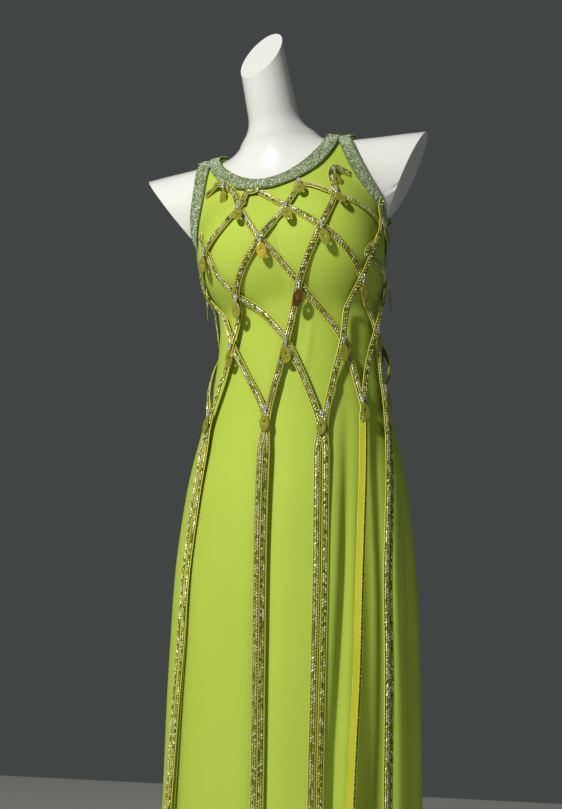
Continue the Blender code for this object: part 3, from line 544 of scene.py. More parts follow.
def walled(name, inner, outer, materials, closed=False, sharp=40, uv=None):
    """A closed wall between an inner and an outer grid, with its own UV in metres along the cloth."""
    rows, columns = inner.shape[:2]
    count = rows * columns
    sheet = quads(rows, columns, closed)
    last = columns if closed else columns - 1
    c = np.arange(last)
    rims = [np.stack([r * columns + c, r * columns + (c + 1) % columns], axis=-1) for r in (0, rows - 1)]
    if not closed:
        r = np.arange(rows - 1)
        rims += [np.stack([r * columns + c, (r + 1) * columns + c], axis=-1) for c in (0, columns - 1)]
    rims = np.concatenate(rims)
    sides = np.stack([rims[:, 0], rims[:, 1], rims[:, 1] + count, rims[:, 0] + count], axis=-1)
    points = np.concatenate([inner.reshape(-1, 3), outer.reshape(-1, 3)])
    piece = new_piece(name, points, np.concatenate([sheet, sheet + count, sides]), materials, sharp)
    if uv is not None:
        both = np.concatenate([uv.reshape(-1, 2), uv.reshape(-1, 2)])
        corner = np.empty(len(piece.data.loops), dtype=np.int32)
        piece.data.loops.foreach_get("vertex_index", corner)
        piece.data.uv_layers.new(name="cloth").data.foreach_set("uv", both[corner].ravel())
    return piece


def panel(name, angles, face, at_start, at_end, material):
    """One cut panel from hem to shoulder."""
    height = np.concatenate([[hem_height], np.linspace(0.03, 0.83, 56), np.linspace(0.84, underarm, 52)])
    v = np.linspace(0, 1, 44)
    below = turned(angles[None], height[:, None], cloth_radius(angles[None], height[:, None]))
    sides = []
    for end, at_armhole in ((0, at_start), (-1, at_end)):
        if at_armhole:
            sides.append(armhole_line(np.sign(math.sin(angles[end])), face, v)[0])
        else:
            low, high = below[-1, end], neck_line(angles[[end]])[0][0]
            sides.append(low + (high - low) * v[:, None])
    top, first, last = panel_top(angles, at_start, at_end)
    bottom = below[-1]
    u, w = np.linspace(0, 1, len(angles))[None, :, None], v[:, None, None]
    across = (1 - u) * sides[0][:, None] + u * sides[1][:, None]
    upward = (1 - w) * bottom[None] + w * top[None]
    corners = (1 - w) * ((1 - u) * bottom[0] + u * bottom[-1]) + w * ((1 - u) * top[0] + u * top[-1])
    yoke, yoke_out = settled(across + upward - corners)
    yoke = yoke + cloth_ease * yoke_out
    fade = np.clip((v / 0.25), 0, 1)[:, None, None]
    yoke = yoke + (bottom[None] - yoke[:1]) * (1 - fade * fade * (3 - 2 * fade))
    points = np.concatenate([below, yoke[1:]])
    out = grid_out(points)
    for end, at_side in ((0, at_start), (-1, at_end)):
        if at_side:
            points[: len(height), end, 1] += face * seam_gap / 2
            out[: len(height), end] *= (1, 0, 1)
        else:
            points[:, end, 0] += np.sign(points[5, len(angles) // 2, 0]) * seam_gap / 2
            out[:, end] *= (0, 1, 1)
    out /= np.linalg.norm(out, axis=-1, keepdims=True)
    if at_start:
        points[-1, : first + 1, 1] += face * seam_gap / 2
    if at_end:
        points[-1, last:, 1] += face * seam_gap / 2
    round_step = np.linalg.norm(np.diff(points[60], axis=0), axis=-1)
    u_metres = np.concatenate([[0], np.cumsum(round_step)])[None] + 0 * points[..., 0]
    v_metres = points[..., 2]
    piece = walled(
        name,
        placed(points),
        placed(points + cloth_wall * out),
        [material],
        uv=np.stack([u_metres, v_metres], axis=-1),
    )
    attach(piece, "gown")
    return piece


# Woven crepe: pebbles in the piece's own UV, with slubs; it gives a height and a mottle
weave = bpy.data.node_groups.new("woven_cloth", "ShaderNodeTree")
weave.interface.new_socket("Threads per metre", in_out="INPUT", socket_type="NodeSocketFloat")
weave.interface.new_socket("Height", in_out="OUTPUT", socket_type="NodeSocketFloat")
weave.interface.new_socket("Mottle", in_out="OUTPUT", socket_type="NodeSocketFloat")
inside, wires = weave.nodes, weave.links
given, given_out = inside.new("NodeGroupInput"), inside.new("NodeGroupOutput")
own_uv = inside.new("ShaderNodeTexCoord")
scaled = inside.new("ShaderNodeVectorMath")
scaled.operation = "SCALE"
crepe_pebble = inside.new("ShaderNodeTexVoronoi")
crepe_pebble.inputs["Scale"].default_value = 1.0
slub = inside.new("ShaderNodeTexNoise")
slub.inputs["Scale"].default_value = 1.6
slub.inputs["Detail"].default_value = 4.0
summed = inside.new("ShaderNodeMath")
summed.operation = "ADD"
wires.new(own_uv.outputs["UV"], scaled.inputs[0])
wires.new(given.outputs["Threads per metre"], scaled.inputs["Scale"])
wires.new(scaled.outputs["Vector"], crepe_pebble.inputs["Vector"])
wires.new(scaled.outputs["Vector"], slub.inputs["Vector"])
wires.new(crepe_pebble.outputs["Distance"], summed.inputs[0])
wires.new(slub.outputs["Fac"], summed.inputs[1])
wires.new(summed.outputs["Value"], given_out.inputs["Height"])
wires.new(noise_of((inside, wires, None), 7.0, 5.0), given_out.inputs["Mottle"])


def woven(wiring, threads, dark, light, strength, distance):
    """The woven cloth on a shader: its mottle between two stops as colour, its height as bump."""
    cloth = wiring[0].new("ShaderNodeGroup")
    cloth.node_tree = weave
    cloth.inputs["Threads per metre"].default_value = threads
    dyed(wiring, cloth.outputs["Mottle"], dark, light)
    bumped(wiring, cloth.outputs["Height"], strength, distance)


crepe, *wiring = shader_of(
    "lime_crepe", 0.68, Sheen_Weight=0.04, Sheen_Tint=(0.7, 1.0, 0.25, 1), Specular_IOR_Level=0.18
)
woven(wiring, 1500, (0.30, (0.445, 0.58, 0.066)), (0.70, (0.485, 0.62, 0.080)), 0.25, 0.0004)

finer_from = math.radians(15)
front_angles = np.concatenate(
    [np.linspace(-side_seam, finer_from, 84), np.linspace(finer_from, side_seam, 97)[1:]]
)
back_angles = np.linspace(side_seam, math.pi, 86)
for name, node, angles, face, at_start, at_end in (
    ("front_panel", "gown_front", front_angles, -1, True, True),
    ("back_panel_left", "gown_back_left", back_angles, 1, True, False),
    ("back_panel_right", "gown_back_right", -back_angles[::-1], 1, False, True),
):
    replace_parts(panel(name, angles, face, at_start, at_end, crepe), node)

# The edge bands: ribbons of net sewn solid with glitter seed beads, one round the neck up to the zip and
# one round each armhole. Dark beads run along their edges; the middle mixes sage and silver-lined ones.
neck_band_width = 0.0228
neck_band_taper = 0.16
neck_band_over = 0.0013
band_rows = 7
arm_band_width = 0.0178
arm_band_spread = 0.0045
band_lift = cloth_ease + cloth_wall + 0.0020
band_net = 0.0009
seed_radius = 0.00112
seed_pitch = 0.0021


def stepped_off(edge, normals, sense, width, rows, closed=False):
    """A band's rows on the form: each steps from the last along its normal crossed with the edge's run."""
    ring = np.concatenate([edge[-1:], edge, edge[:1]])
    along = (ring[2:] - ring[:-2]) / 2 if closed else np.gradient(edge, axis=0)
    points, turned_out = [edge], [normals]
    for _ in range(rows - 1):
        across = sense * np.cross(turned_out[-1], along)
        across *= width[:, None] / (rows - 1) / np.linalg.norm(across, axis=-1, keepdims=True)
        spot, normal = settled(points[-1] + across)
        points.append(spot)
        turned_out.append(normal)
    return np.stack(points), np.stack(turned_out)


def evenly(points, others, pitch, closed=False):
    """A polyline walked in equal steps near a pitch, with its other rows of values carried along."""
    if closed:
        points, others = np.concatenate([points, points[:1]]), np.concatenate([others, others[:1]])
    run = np.concatenate([[0], np.cumsum(np.linalg.norm(np.diff(points, axis=0), axis=-1))])
    steps = max(int(round(run[-1] / pitch)), 2)
    at = np.linspace(0, run[-1], steps + 1)[: steps if closed else None]
    walked = []
    for values in (points, others):
        walked.append(np.stack([np.interp(at, run, column) for column in values.T], axis=-1))
    return *walked, at


def ball_shape():
    """A bead of twenty faces and unit radius."""
    shell = bmesh.new()
    bmesh.ops.create_icosphere(shell, subdivisions=1, radius=1)
    points = np.array([v.co[:] for v in shell.verts])
    faces = np.array([[v.index for v in f.verts] for f in shell.faces])
    shell.free()
    return points, faces


def copies(name, shape, centres, axes, tones, material, sharp):
    """Copies of a small shape: each point is its centre plus the axes times the shape's point."""
    points, faces = shape
    spread = centres[:, None] + np.einsum("kij,nj->kni", axes, points)
    numbered = faces[None] + len(points) * np.arange(len(centres))[:, None, None]
    piece = new_piece(name, spread, numbered.reshape(-1, faces.shape[1]).tolist(), [material], sharp)
    tone = piece.data.attributes.new("tone", "FLOAT", "POINT")
    tone.data.foreach_set("value", np.repeat(tones, len(points)).astype(np.float32))
    return piece


def bead_finish(name, stops, roughness, metallic, **inputs):
    """Glass beads coloured by each one's own tone along a ramp of stops."""
    material, *wiring = shader_of(name, roughness, metallic, **inputs)
    own = wiring[0].new("ShaderNodeAttribute")
    own.attribute_name = "tone"
    dyed(wiring, own.outputs["Fac"], *stops)
    return material


def net_finish(name, dark, light, threads):
    """Net under beads: the woven cloth at a coarser pitch, mottled between two colours."""
    material, *wiring = shader_of(name, 0.6)
    woven(wiring, threads, (0.35, dark), (0.65, light), 0.5, 0.0003)
    return material


band_ground = net_finish("band_net", (0.13, 0.19, 0.06), (0.20, 0.28, 0.10), 900)
seed_glass = bead_finish(
    "seed_beads",
    [
        (0.0, (0.11, 0.17, 0.08)),
        (0.35, (0.33, 0.44, 0.21)),
        (0.7, (0.58, 0.68, 0.42)),
        (1.0, (0.95, 0.97, 0.90)),
    ],
    0.18,
    0.25,
    Coat_Weight=0.6,
)
chance = np.random.default_rng(7)
ball = ball_shape()


def band(name, node, points, normals, closed=False, over=0.0):
    """A band of net on the cloth, its seed beads in rows across it, and both fixed to the gown."""
    inner = points + (band_lift + over) * normals
    outer = inner + band_net * normals
    width = float(np.linalg.norm(np.diff(points, axis=0), axis=-1).sum(axis=0).mean())
    run = np.linalg.norm(np.diff(points[3], axis=0, prepend=points[3][:1]), axis=-1).cumsum()
    level = 0 * points[..., 0]
    uv = np.stack([run[None] + level, level + np.linspace(0, width, len(points))[:, None]], axis=-1)
    net = walled(name, placed(inner), placed(outer), [band_ground], closed=closed, uv=uv)
    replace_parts(net, node)
    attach(net, "gown")
    rows = round(width / seed_pitch)
    centres, tones = [], []
    for row in range(rows):
        share = (row + 0.5) / rows * (len(points) - 1)
        low = min(int(share), len(points) - 2)
        line = outer[low] + (outer[low + 1] - outer[low]) * (share - low)
        out = normals[low] + (normals[low + 1] - normals[low]) * (share - low)
        spots, away, _ = evenly(line, out, seed_pitch, closed)
        away /= np.linalg.norm(away, axis=-1, keepdims=True)
        spots = spots + away * chance.uniform(0.0002, 0.0008, (len(spots), 1))
        centres.append(spots + chance.normal(0, 0.00022, spots.shape))
        edge_row = min(row, rows - 1 - row) == 0
        mixed = chance.choice([0.15, 0.4, 0.65, 1.0], len(spots), p=[0.16, 0.34, 0.30, 0.20])
        tones.append(np.where(edge_row, mixed * 0.45, mixed))
    centres = placed(np.concatenate(centres))
    size = (seed_radius * chance.uniform(0.9, 1.1, len(centres)))[:, None, None]
    tones = np.concatenate(tones)
    seeds = copies(name + "_seeds", ball, centres, size * np.eye(3), tones, seed_glass, 60)
    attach(seeds, "gown")


neck_angles = np.linspace(-math.pi + 0.006, math.pi - 0.006, 241)
neck_edge, neck_out = neck_line(neck_angles)
width = neck_band_width * (1 - neck_band_taper * np.sin(neck_angles) ** 2)
neck_rows, neck_out = stepped_off(neck_edge, neck_out, -1, width, band_rows)
band("neck_band_net", "neck_band", neck_rows, neck_out, over=neck_band_over)
half_run = np.linspace(0, 1, 56)
for name, side in (("left", 1), ("right", -1)):
    halves = [armhole_line(side, -1, half_run), armhole_line(side, 1, half_run[::-1])]
    edge, out = (np.concatenate([front[:-1], back[:-1]]) for front, back in zip(*halves))
    run = np.concatenate([half_run[:-1], half_run[::-1][:-1]])
    width = arm_band_width + arm_band_spread * np.clip((run - 0.25) / 0.35, 0, 1)
    edge, out = stepped_off(edge, out, side, width, band_rows, closed=True)
    band("armhole_net_" + name, "armhole_band_" + name, edge, out, closed=True)

# The lattice: sixteen narrow strips of dark net edged with bright looped cord and sewn with two rows of
# short silver-lined bugle beads. They cross over the bodice, meet in pairs below the waist and hang to
# the hem; they are caught down only at their tops and at the crossings.
strip_cut, strip_width = 0.0100, 0.0092
strip_net = 0.0009
strip_lift = 0.0032
top_lift = 0.0012
knot_steps = 14
strip_sag = 0.0022
lowest_crossing = 1.085
strip_end = 0.030
pair_half_pitch = 0.0060
streamer_gap = 0.0016
streamer_low = 0.85
streamer_rows = (1.03, 0.98, 0.93, 0.88, 0.80, 0.68, 0.50, 0.27)
strip_step = 0.006
net_lift = 0.0002
bugle_length, bugle_radius, bugle_pitch = 0.0036, 0.00105, 0.0044
bugle_row, bugle_lift = 0.0015, 0.0019
bugle_slant = math.radians(24)
edge_cord_radius = 0.00068
cord_step, cord_loop, cord_swing, cord_lift = 0.0021, 0.0063, 0.0005, 0.0008
# Rings of crossings from the shoulders down: stand-off of the inner strip there, angles and heights
crossing_gaps = {"A": 0.0033, "B": 0.0018, "C": 0.0022, "D": 0.0028, "E": 0.0090, "F": 0.0090}
crossing_angles = {
    "A": (248, -52.5, -14, 24, 56.5, 112, 158, 202),
    "B": (-82, -26.5, 10, 44, 90, 135, 180, 225),
    "C": (244, -46.5, -11, 29, 73, 118, 158, 203),
    "D": (234, -68.5, -34.5, 12.5, 52, 97, 143, 188),
    "E": (212, -98, -45, 1, 43, 71, 117, 163),
    "F": (243, -58.5, -12, 26.5, 54.5, 75.5, 128, 184),
}
crossing_heights = {
    "A": (1.40, 1.396, 1.367, 1.370, 1.392, 1.40, 1.410, 1.410),
    "B": (1.35, 1.346, 1.336, 1.347, 1.36, 1.348, 1.345, 1.348),
    "C": (1.288, 1.292, 1.295, 1.299, 1.304, 1.290, 1.288, 1.286),
    "D": (1.225, 1.226, 1.220, 1.228, 1.232, 1.232, 1.225, 1.222),
    "E": (1.140, 1.140, 1.140, 1.143, 1.147, 1.166, 1.156, 1.145),
    "F": (1.040, 1.041, 1.043, 1.038, 1.062, 1.081, 1.060, 1.045),
}
# Crossings at the wearer's right side that lie closer to the cloth than their ring does
close_crossings = {"E0": 0.0030, "E1": 0.0012, "F0": 0.0050}
# Each pair of strips, counted as ring F is: its angles at five heights on its way down to the hem
hang_heights = (0.90, 0.80, 0.65, 0.50, 0.03)
hang_angles = [
    (244.5, 245.6, 247.3, 248.9, 250),
    (-58, -58.5, -58.5, -61.5, -68),
    (-10.5, -9, -7.5, -6.6, -6),
    (24.8, 24, 22.8, 22, 21.5),
    (47, 44, 41.5, 38.5, 34),
    (63.5, 59.5, 58.5, 57, 54),
    (127, 126.5, 125.6, 124.7, 124),
    (184.5, 184.8, 185.2, 185.7, 186),
]
# Strips that start at an armhole: angle and height there
armhole_starts = {
    "L0": (232, 1.362),
    "L1": (248, 1.310),
    "L5": (83, 1.342),
    "R0": (-57, 1.323),
    "R4": (112, 1.310),
    "R5": (128, 1.362),
}
# Points where a strip strays from the straight way between two crossings, by its upper one
strays = {
    ("L", "A2"): [(-26, 1.367), (-25.5, 1.353)],
    ("R", "A3"): [(33, 1.364), (40, 1.352)],
    ("R", "C4"): [(64, 1.277), (55.7, 1.255)],
    ("R", "C1"): [(-44, 1.276), (-41.6, 1.254), (-36.8, 1.231)],
}
# Short strips to the armholes: the crossing of ring A that each leaves, and two points on its way
short_strips = {"right": (1, (-62, 1.402), (-76, 1.392)), "left": (4, (62, 1.394), (70, 1.384))}
short_strip_end = 0.0008
# Where pairs have turned or slid as they hang: height below which a strip shows its back, sideways shift
# of a strip from the middle of its pair, and how far it rides above the other one
backs_out = {"R1": 1.03}
turned_shift = {"R1": -0.0012, "L6": 0.0030, "R7": -0.0044, "L4": 0.0040, "R2": -0.0044, "L7": 0.0040}
over_its_pair = {"R1": 0.0026, "R7": 0.0026, "R2": 0.0026}


def crossing(name):
    """A crossing's angle, height and stand-off."""
    ring, place = name[0], int(name[1])
    gap = close_crossings.get(name, crossing_gaps[ring])
    return math.radians(crossing_angles[ring][place]), crossing_heights[ring][place], gap


def on_cloth(angle, height, gap, lateral=0.0):
    """Points at a gap off the cloth's outer side, its folds left out, with the outward normals there."""
    step = 1e-3
    angle = angle + lateral / envelope(angle, height)
    middle = turned(angle, height, envelope(angle, height))
    round_step = turned(angle + step, height, envelope(angle + step, height)) - middle
    up_step = turned(angle, height + step, envelope(angle, height + step)) - middle
    normal = np.cross(round_step, up_step)
    normal /= np.linalg.norm(normal, axis=-1, keepdims=True)
    return middle + (cloth_wall + gap)[..., None] * normal, normal


def curve_through(knots, steps):
    """A smooth curve through rows of values: a cubic between each two, its slopes from their neighbours."""
    knots = np.array(knots)
    padded = np.concatenate([2 * knots[:1] - knots[1:2], knots, 2 * knots[-1:] - knots[-2:-1]])
    a, b, c, d = (padded[i : len(padded) - 3 + i, None] for i in range(4))
    t = np.linspace(0, 1, steps, endpoint=False)[None, :, None]
    rows = b + 0.5 * t * (c - a + t * (2 * a - 5 * b + 4 * c - d + t * (3 * b - a - 3 * c + d)))
    return np.concatenate([rows.reshape(-1, knots.shape[1]), knots[-1:]])


def strip_knots(family, number):
    """A strip's knots of angle, height, stand-off and sideways shift, from its top to its lower end."""
    sign = -1 if family == "L" else 1
    shifts = (-1, -1, -1, -1, -2) if family == "L" else (0, 1, 2, 3, 3)
    names = ["A%d" % number] + [ring + str((number + shift) % 8) for ring, shift in zip("BCDEF", shifts)]
    key = family + str(number)
    lift = strip_lift if family == "L" else 0.0
    stops = []
    if key in armhole_starts:
        angle, height = armhole_starts[key]
        names = names[1 if key in ("L0", "R5") else 2 :]
        stops.append((math.radians(angle), height, crossing_gaps["A"] + lift, 0.0))
    for name in names:
        angle, height, gap = crossing(name)
        stops.append((angle, height, gap + lift, 0.0))
        for a, z in strays.get((family, name), []):
            stops.append((math.radians(a), z, gap + lift, 0.0))
    knots = np.array(stops)
    knots[:, 0] = np.unwrap(knots[:, 0])
    knots[0, 2] += top_lift if family == "L" else 0.0
    knots[-1, 2] -= lift
    knots[-1, 3] = turned_shift.get(key, -sign * pair_half_pitch)
    pair = (number + shifts[-1]) % 8
    heights = [*hang_heights[::-1], knots[-1, 1]]
    turns = [angle - crossing_angles["F"][pair] for angle in hang_angles[pair][::-1]] + [0.0]
    hang = []
    for z in [z for z in streamer_rows if z < knots[-1, 1] - 0.02] + [strip_end]:
        turn = math.radians(np.interp(z, heights, turns))
        fall = np.clip((knots[-1, 1] - z) / (knots[-1, 1] - streamer_low), 0, 1)
        gap = knots[-1, 2] + (streamer_gap - knots[-1, 2]) * fall
        hang.append((knots[-1, 0] + turn, z, gap, knots[-1, 3]))
    hang = np.array(hang)
    hang[:, 2] += over_its_pair.get(key, 0.0)
    return np.concatenate([knots, hang])


def frames_along(route, pitch):
    """A route in equal steps: its spots, the ways along, across and out there, and the run to each."""
    spots, normals = on_cloth(*route.T)
    spots, normals, run = evenly(spots, normals, pitch)
    along = np.gradient(spots, axis=0)
    along /= np.linalg.norm(along, axis=-1, keepdims=True)
    across = np.cross(normals, along)
    across /= np.linalg.norm(across, axis=-1, keepdims=True)
    return spots, along, across, np.cross(along, across), run


def prism_shape(sides):
    """A closed prism of unit radius and half length along its second axis, with its ends as fans."""
    turn = np.linspace(0, 2 * math.pi, sides, endpoint=False)
    ring = np.stack([np.cos(turn), 0 * turn, np.sin(turn)], axis=-1)
    points = np.concatenate([ring - (0, 0.5, 0), ring + (0, 0.5, 0)])
    i = np.arange(sides)
    j = (i + 1) % sides
    walls = [np.stack([i, j, j + sides], axis=-1), np.stack([i, j + sides, i + sides], axis=-1)]
    fan = np.arange(1, sides - 1)
    ends = [np.stack([0 * fan + k, fan + k, fan + 1 + k], axis=-1) for k in (0, sides)]
    return points, np.concatenate(walls + ends)


def tube(spots, across, out, radius, sides):
    """Points and faces of a closed tube: at each spot a ring of its radius in the across and out ways."""
    turn = np.linspace(0, 2 * math.pi, sides, endpoint=False)
    away = np.cos(turn)[:, None] * across[:, None] + np.sin(turn)[:, None] * out[:, None]
    ring = spots[:, None] + radius * away
    faces = quads(len(spots), sides, closed=True).tolist()
    last = (len(spots) - 1) * sides
    return ring.reshape(-1, 3), faces + [list(range(sides)), list(range(last, last + sides))]


strip_ground = net_finish("strip_net", (0.11, 0.125, 0.016), (0.20, 0.215, 0.035), 1000)
backing = net_finish("strip_backing", (0.74, 0.74, 0.03), (0.84, 0.82, 0.06), 1000)
edge_thread, *wiring = shader_of("edge_cord", 0.5)
nodes, links, _ = wiring
where = nodes.new("ShaderNodeTexCoord")
twist = nodes.new("ShaderNodeTexWave")
twist.inputs["Scale"].default_value = 260
twist.bands_direction = "DIAGONAL"
links.new(where.outputs["Object"], twist.inputs["Vector"])
dyed(wiring, twist.outputs["Fac"], (0, (0.62, 0.64, 0.02)), (1, (0.86, 0.84, 0.05)))
bugle_glass = bead_finish(
    "bugle_beads",
    [
        (0.0, (0.12, 0.13, 0.015)),
        (0.35, (0.38, 0.39, 0.06)),
        (0.7, (0.64, 0.64, 0.18)),
        (1.0, (0.94, 0.94, 0.68)),
    ],
    0.22,
    0.25,
    Coat_Weight=0.35,
)
bugle = prism_shape(6)


def beaded_strip(name, node, route, bright, back_from=None):
    """A strip of net with its cord edges and its bugle beads; below back_from its backing faces out."""
    spots, along, across, out, run = frames_along(route, strip_step)
    columns = np.array([-1, -0.5, 0, 0.5, 1]) * strip_width / 2
    inner = spots[:, None] + columns[None, :, None] * across[:, None] + net_lift * out[:, None]
    outer = inner + strip_net * out[:, None]
    uv = np.stack([0 * run[:, None] + columns, run[:, None] + 0 * columns], axis=-1)
    net = walled(name, placed(inner), placed(outer), [strip_ground, backing], uv=uv)
    if back_from is not None:
        middle = np.empty(len(net.data.polygons) * 3)
        net.data.polygons.foreach_get("center", middle)
        shows_back = (middle.reshape(-1, 3)[:, 2] < back_from).astype(np.int32)
        net.data.polygons.foreach_set("material_index", shows_back)
    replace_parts(net, node)
    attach(net, "gown")
    spots, along, across, out, run = frames_along(route, bugle_pitch / 2)
    row = np.where(np.arange(len(spots)) % 2, 1, -1)[1:-1]
    spots, along, across, out = spots[1:-1], along[1:-1], across[1:-1], out[1:-1]
    slant = bugle_slant * row + chance.normal(0, 0.16, len(row))
    aside = row * bugle_row + chance.normal(0, 0.0002, len(row))
    centres = spots + across * aside[:, None] + bugle_lift * out
    lay = np.cos(slant)[:, None] * along + np.sin(slant)[:, None] * across
    beside = np.cross(lay, out)
    axes = np.stack([bugle_radius * beside, bugle_length * lay, bugle_radius * out], axis=-1)
    tones = chance.choice([0.1, 0.45, 0.75, 1.0], len(row), p=[0.20, 0.32, 0.28, 0.20])
    # bright shifts every bugle's tone: painted glint, lighter beads standing in for light caught by the
    # bead slant
    tones = np.clip(tones + bright, 0, 1)
    if back_from is not None:
        front_out = centres[:, 2] > back_from
        centres, axes, tones = centres[front_out], axes[front_out], tones[front_out]
    bugles = copies(name + "_bugles", bugle, placed(centres), axes, tones, bugle_glass, 70)
    spots, along, across, out, run = frames_along(route, cord_step)
    loop = strip_width / 2 + cord_swing * np.cos(2 * math.pi * run / cord_loop)[:, None]
    left, faces = tube(placed(spots - loop * across + cord_lift * out), across, out, edge_cord_radius, 4)
    other, more = tube(placed(spots + loop * across + cord_lift * out), across, out, edge_cord_radius, 4)
    faces += [[corner + len(left) for corner in face] for face in more]
    cords = new_piece(name + "_edges", np.concatenate([left, other]), faces, [edge_thread], 80)
    for piece in (bugles, cords):
        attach(piece, "gown")


for family in "LR":
    for number in range(8):
        key = family + str(number)
        route = curve_through(strip_knots(family, number), knot_steps)
        between = np.sin(np.pi * np.arange(len(route)) / knot_steps) ** 2
        route[:, 2] -= (strip_sag if family == "L" else 0.0) * between * (route[:, 1] > lowest_crossing)
        # Painted glint: the R family's bugles are toned lighter and the L family's darker for how the key
        # light catches each family, not for different beads
        bright = 0.12 if family == "R" else -0.05
        beaded_strip("lattice_" + key, "strip_" + key, route, bright, backs_out.get(key))
for side, (number, middle, end) in short_strips.items():
    angle, height, gap = crossing("A%d" % number)
    lift = strip_lift if side == "right" else 0.0
    knots = [(angle, height, gap + lift, 0.0)]
    knots += [(math.radians(a), z, g, 0.0) for (a, z), g in ((middle, gap + lift), (end, short_strip_end))]
    beaded_strip("shoulder_strip_" + side, "short_strip_" + side, curve_through(knots, 12), 0.0)

# The drops: clear acrylic teardrops pierced below their points, pale yellow with a gold and an amber one
# among them. Each hangs from a knot of silver seed beads sewn over a crossing.
drop_width, drop_length, drop_top, drop_wall = 0.0147, 0.026, 0.009, 0.0030
drop_names = "A1 A3 A4 B1 B2 B3 C1 C2 C3 C4 D1 D2 D3 D4 D5".split()
drop_names += [ring + str(place) for ring in "EF" for place in range(8)]
knot_lift = 0.0030
silver_radius, silver_pitch = 0.0012, 0.0019


def drop_shape():
    """A pierced teardrop: rings round its hole, each a half-ellipse section between hole and outline."""
    turn = np.linspace(0, 2 * math.pi, 28, endpoint=False)
    point_up = np.clip(-np.cos(turn), 0, 1) ** 3
    outer_x = drop_width / 2 * np.sin(turn) * (1 - 0.42 * point_up)
    outer_z = -drop_length / 2 - np.cos(turn) * drop_length / 2
    inner_x = 0.10 * drop_width * np.sin(turn)
    inner_z = -0.45 * drop_length - 0.07 * drop_length * np.cos(turn)
    section = np.linspace(0, 2 * math.pi, 12, endpoint=False)
    share = (0.5 + 0.5 * np.cos(section))[:, None]
    proud = (np.sin(section) * (0.62 + 0.38 * np.cos(2 * section)))[:, None] * drop_wall / 2
    x = inner_x + (outer_x - inner_x) * share
    z = inner_z + (outer_z - inner_z) * share
    return np.stack([x, proud + 0 * x, z], axis=-1), len(turn), len(section)


def drop_finish(name, pale, deep):
    """Clear tinted acrylic, deeper towards cloudy patches."""
    material, *wiring = shader_of(name, 0.08, Transmission_Weight=0.40, IOR=1.49, Coat_Weight=0.4)
    dyed(wiring, noise_of(wiring, 160), (0.35, deep), (0.65, pale))
    return material


acrylic = drop_finish("drop_acrylic", (0.50, 0.49, 0.07), (0.36, 0.36, 0.03))
gold_acrylic = drop_finish("drop_gold", (0.80, 0.64, 0.07), (0.66, 0.51, 0.04))
amber_acrylic = drop_finish("drop_amber", (0.19, 0.080, 0.016), (0.11, 0.045, 0.009))
tints = {"C2": gold_acrylic, "D3": amber_acrylic}
shape, turns, sections = drop_shape()
drop_faces = quads(sections + 1, turns, closed=True) % (sections * turns)
knot_spots = []
for name in drop_names:
    angle, height, gap = crossing(name)
    over = gap + knot_lift + (0.0 if name[0] == "F" else strip_lift)
    spot, normal = on_cloth(np.array([angle]), np.array([height]), np.array([over]))
    spot, normal = spot[0], normal[0]
    if normal[2] < 0:
        normal = normal * (1, 1, 0) / np.linalg.norm(normal[:2])
    down = np.array([0, 0, -1.0]) + normal[2] * normal
    down /= np.linalg.norm(down)
    across = np.cross(down, normal)
    swing = chance.normal(0, 0.10)
    hang = math.cos(swing) * down + math.sin(swing) * across
    beside = np.cross(hang, normal)
    local = shape.reshape(-1, 3)
    points = spot + drop_top * 0.85 * down + local[:, :1] * beside
    points = points + (local[:, 1:2] + drop_wall / 2) * normal - local[:, 2:] * hang
    tint = tints.get(name, acrylic)
    teardrop = new_piece("teardrop_" + name, placed(points), drop_faces.tolist(), [tint], 70)
    if name[0] != "A":
        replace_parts(teardrop, "drop_" + name)
    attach(teardrop, "gown")
    for row in range(6):
        for column in range(-1, 2):
            sideways = column * silver_pitch * (1 if row < 4 else 0.5)
            bead = spot + (row * silver_pitch - 0.003) * down + sideways * across + 0.0006 * normal
            knot_spots.append(bead)
knot_spots = np.array(knot_spots)
knot_spots += chance.normal(0, 0.0003, knot_spots.shape)
silver = bead_finish("silver_seeds", [(0.0, (0.55, 0.56, 0.50)), (1.0, (0.95, 0.95, 0.92))], 0.12, 0.6)
size = (silver_radius * chance.uniform(0.9, 1.15, len(knot_spots)))[:, None, None]
tones = chance.uniform(0, 1, len(knot_spots))
knots = copies("crossing_knots", ball, placed(knot_spots), size * np.eye(3), tones, silver, 60)
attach(knots, "gown")

# The zip: a concealed one, closed up to the neck band, of which only the slider and its pull show. Both
# are cast metal sprayed to match the cloth.
enamel, *wiring = shader_of("zip_enamel", 0.35, 0.2, Coat_Weight=0.3)
dyed(wiring, noise_of(wiring, 400), (0, (0.34, 0.50, 0.06)), (1, (0.42, 0.60, 0.10)))
for node in ("zip_slider", "zip_pull"):
    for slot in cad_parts[node].material_slots:
        slot.material = enamel

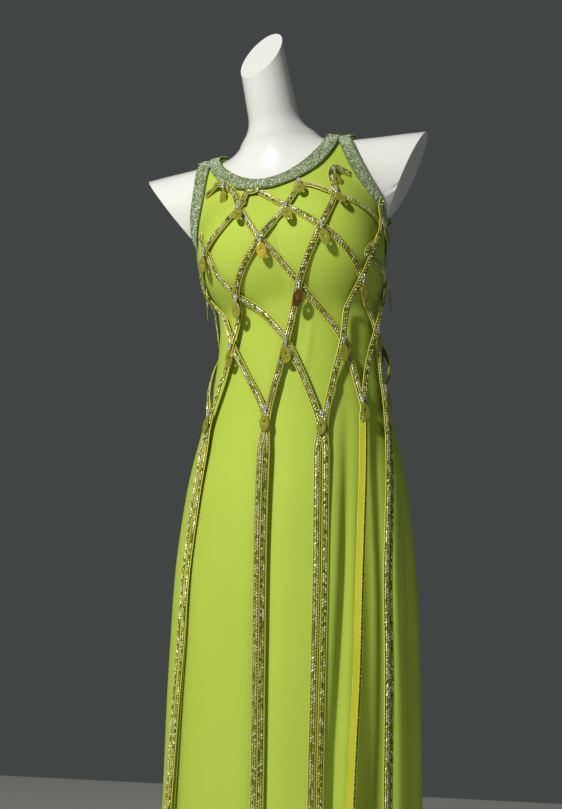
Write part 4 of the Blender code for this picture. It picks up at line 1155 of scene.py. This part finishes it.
# The studio: a pale floor under a plain grey surround, so that the white form reads, with the key light
# high in front on the left, as its shadows fall to the right, and a weak fill on the other side.
half_floor = 3.0
floor_colour = (0.72, 0.72, 0.70)
floor_paint, *wiring = shader_of("floor_paint", 0.8)
dyed(wiring, noise_of(wiring, 2.0), (0, [0.96 * c for c in floor_colour]), (1, floor_colour))
corners = [(x * half_floor, y * half_floor, 0) for x, y in ((-1, -1), (1, -1), (1, 1), (-1, 1))]
new_piece("floor", corners, [(0, 1, 2, 3)], [floor_paint])


def area_light(name, place, aim, size, watts, colour):
    """A square soft light at a place, turned to face a point."""
    lamp = bpy.data.lights.new(name, "AREA")
    lamp.size, lamp.energy, lamp.color = size, watts, colour
    holder = bpy.data.objects.new(name, lamp)
    holder.location = place
    holder.rotation_euler = (Vector(aim) - Vector(place)).to_track_quat("-Z", "Y").to_euler()
    bpy.context.collection.objects.link(holder)


middle = stand_axis + (0, 0, 1.0)
area_light("key", middle + (-1.32, -2.96, 2.18), middle, 0.32, 143, (1.0, 0.985, 0.93))
area_light("fill", middle + (1.6, -2.6, 0.4), middle, 1.6, 3, (0.88, 1.0, 0.92))
room = bpy.data.worlds.new("studio_air")
bpy.context.scene.world = room
room.use_nodes = True
room.node_tree.nodes["Background"].inputs["Color"].default_value = (0.27, 0.30, 0.29, 1)
room.node_tree.nodes["Background"].inputs["Strength"].default_value = 0.20
bpy.context.scene.view_settings.view_transform = "Standard"

# The camera stands a little to the right of the gown's front and below its chest, tilted up slightly
view_round, view_up, view_roll = math.radians(12.0), math.radians(4.3), math.radians(0.95)
view_distance, aim_height, aim_left, lens = 2.435, 1.060, 0.0277, 72.27
level, rise = math.cos(view_up), math.sin(view_up)
forward = Vector((-math.sin(view_round) * level, math.cos(view_round) * level, rise))
right = Vector((math.cos(view_round), math.sin(view_round), 0))
up = right.cross(forward)
aim = Vector((stand_axis[0], stand_axis[1], aim_height)) - aim_left * right
rolled_right = right * math.cos(view_roll) + up * math.sin(view_roll)
rolled_up = up * math.cos(view_roll) - right * math.sin(view_roll)
turned_camera = Matrix((rolled_right, rolled_up, -forward)).transposed().to_4x4()
turned_camera.translation = aim - view_distance / level * forward
camera = bpy.data.cameras.new("camera")
camera.lens, camera.sensor_width = lens, 36
viewer = bpy.data.objects.new("camera", camera)
viewer.matrix_world = turned_camera
bpy.context.collection.objects.link(viewer)
bpy.context.scene.camera = viewer
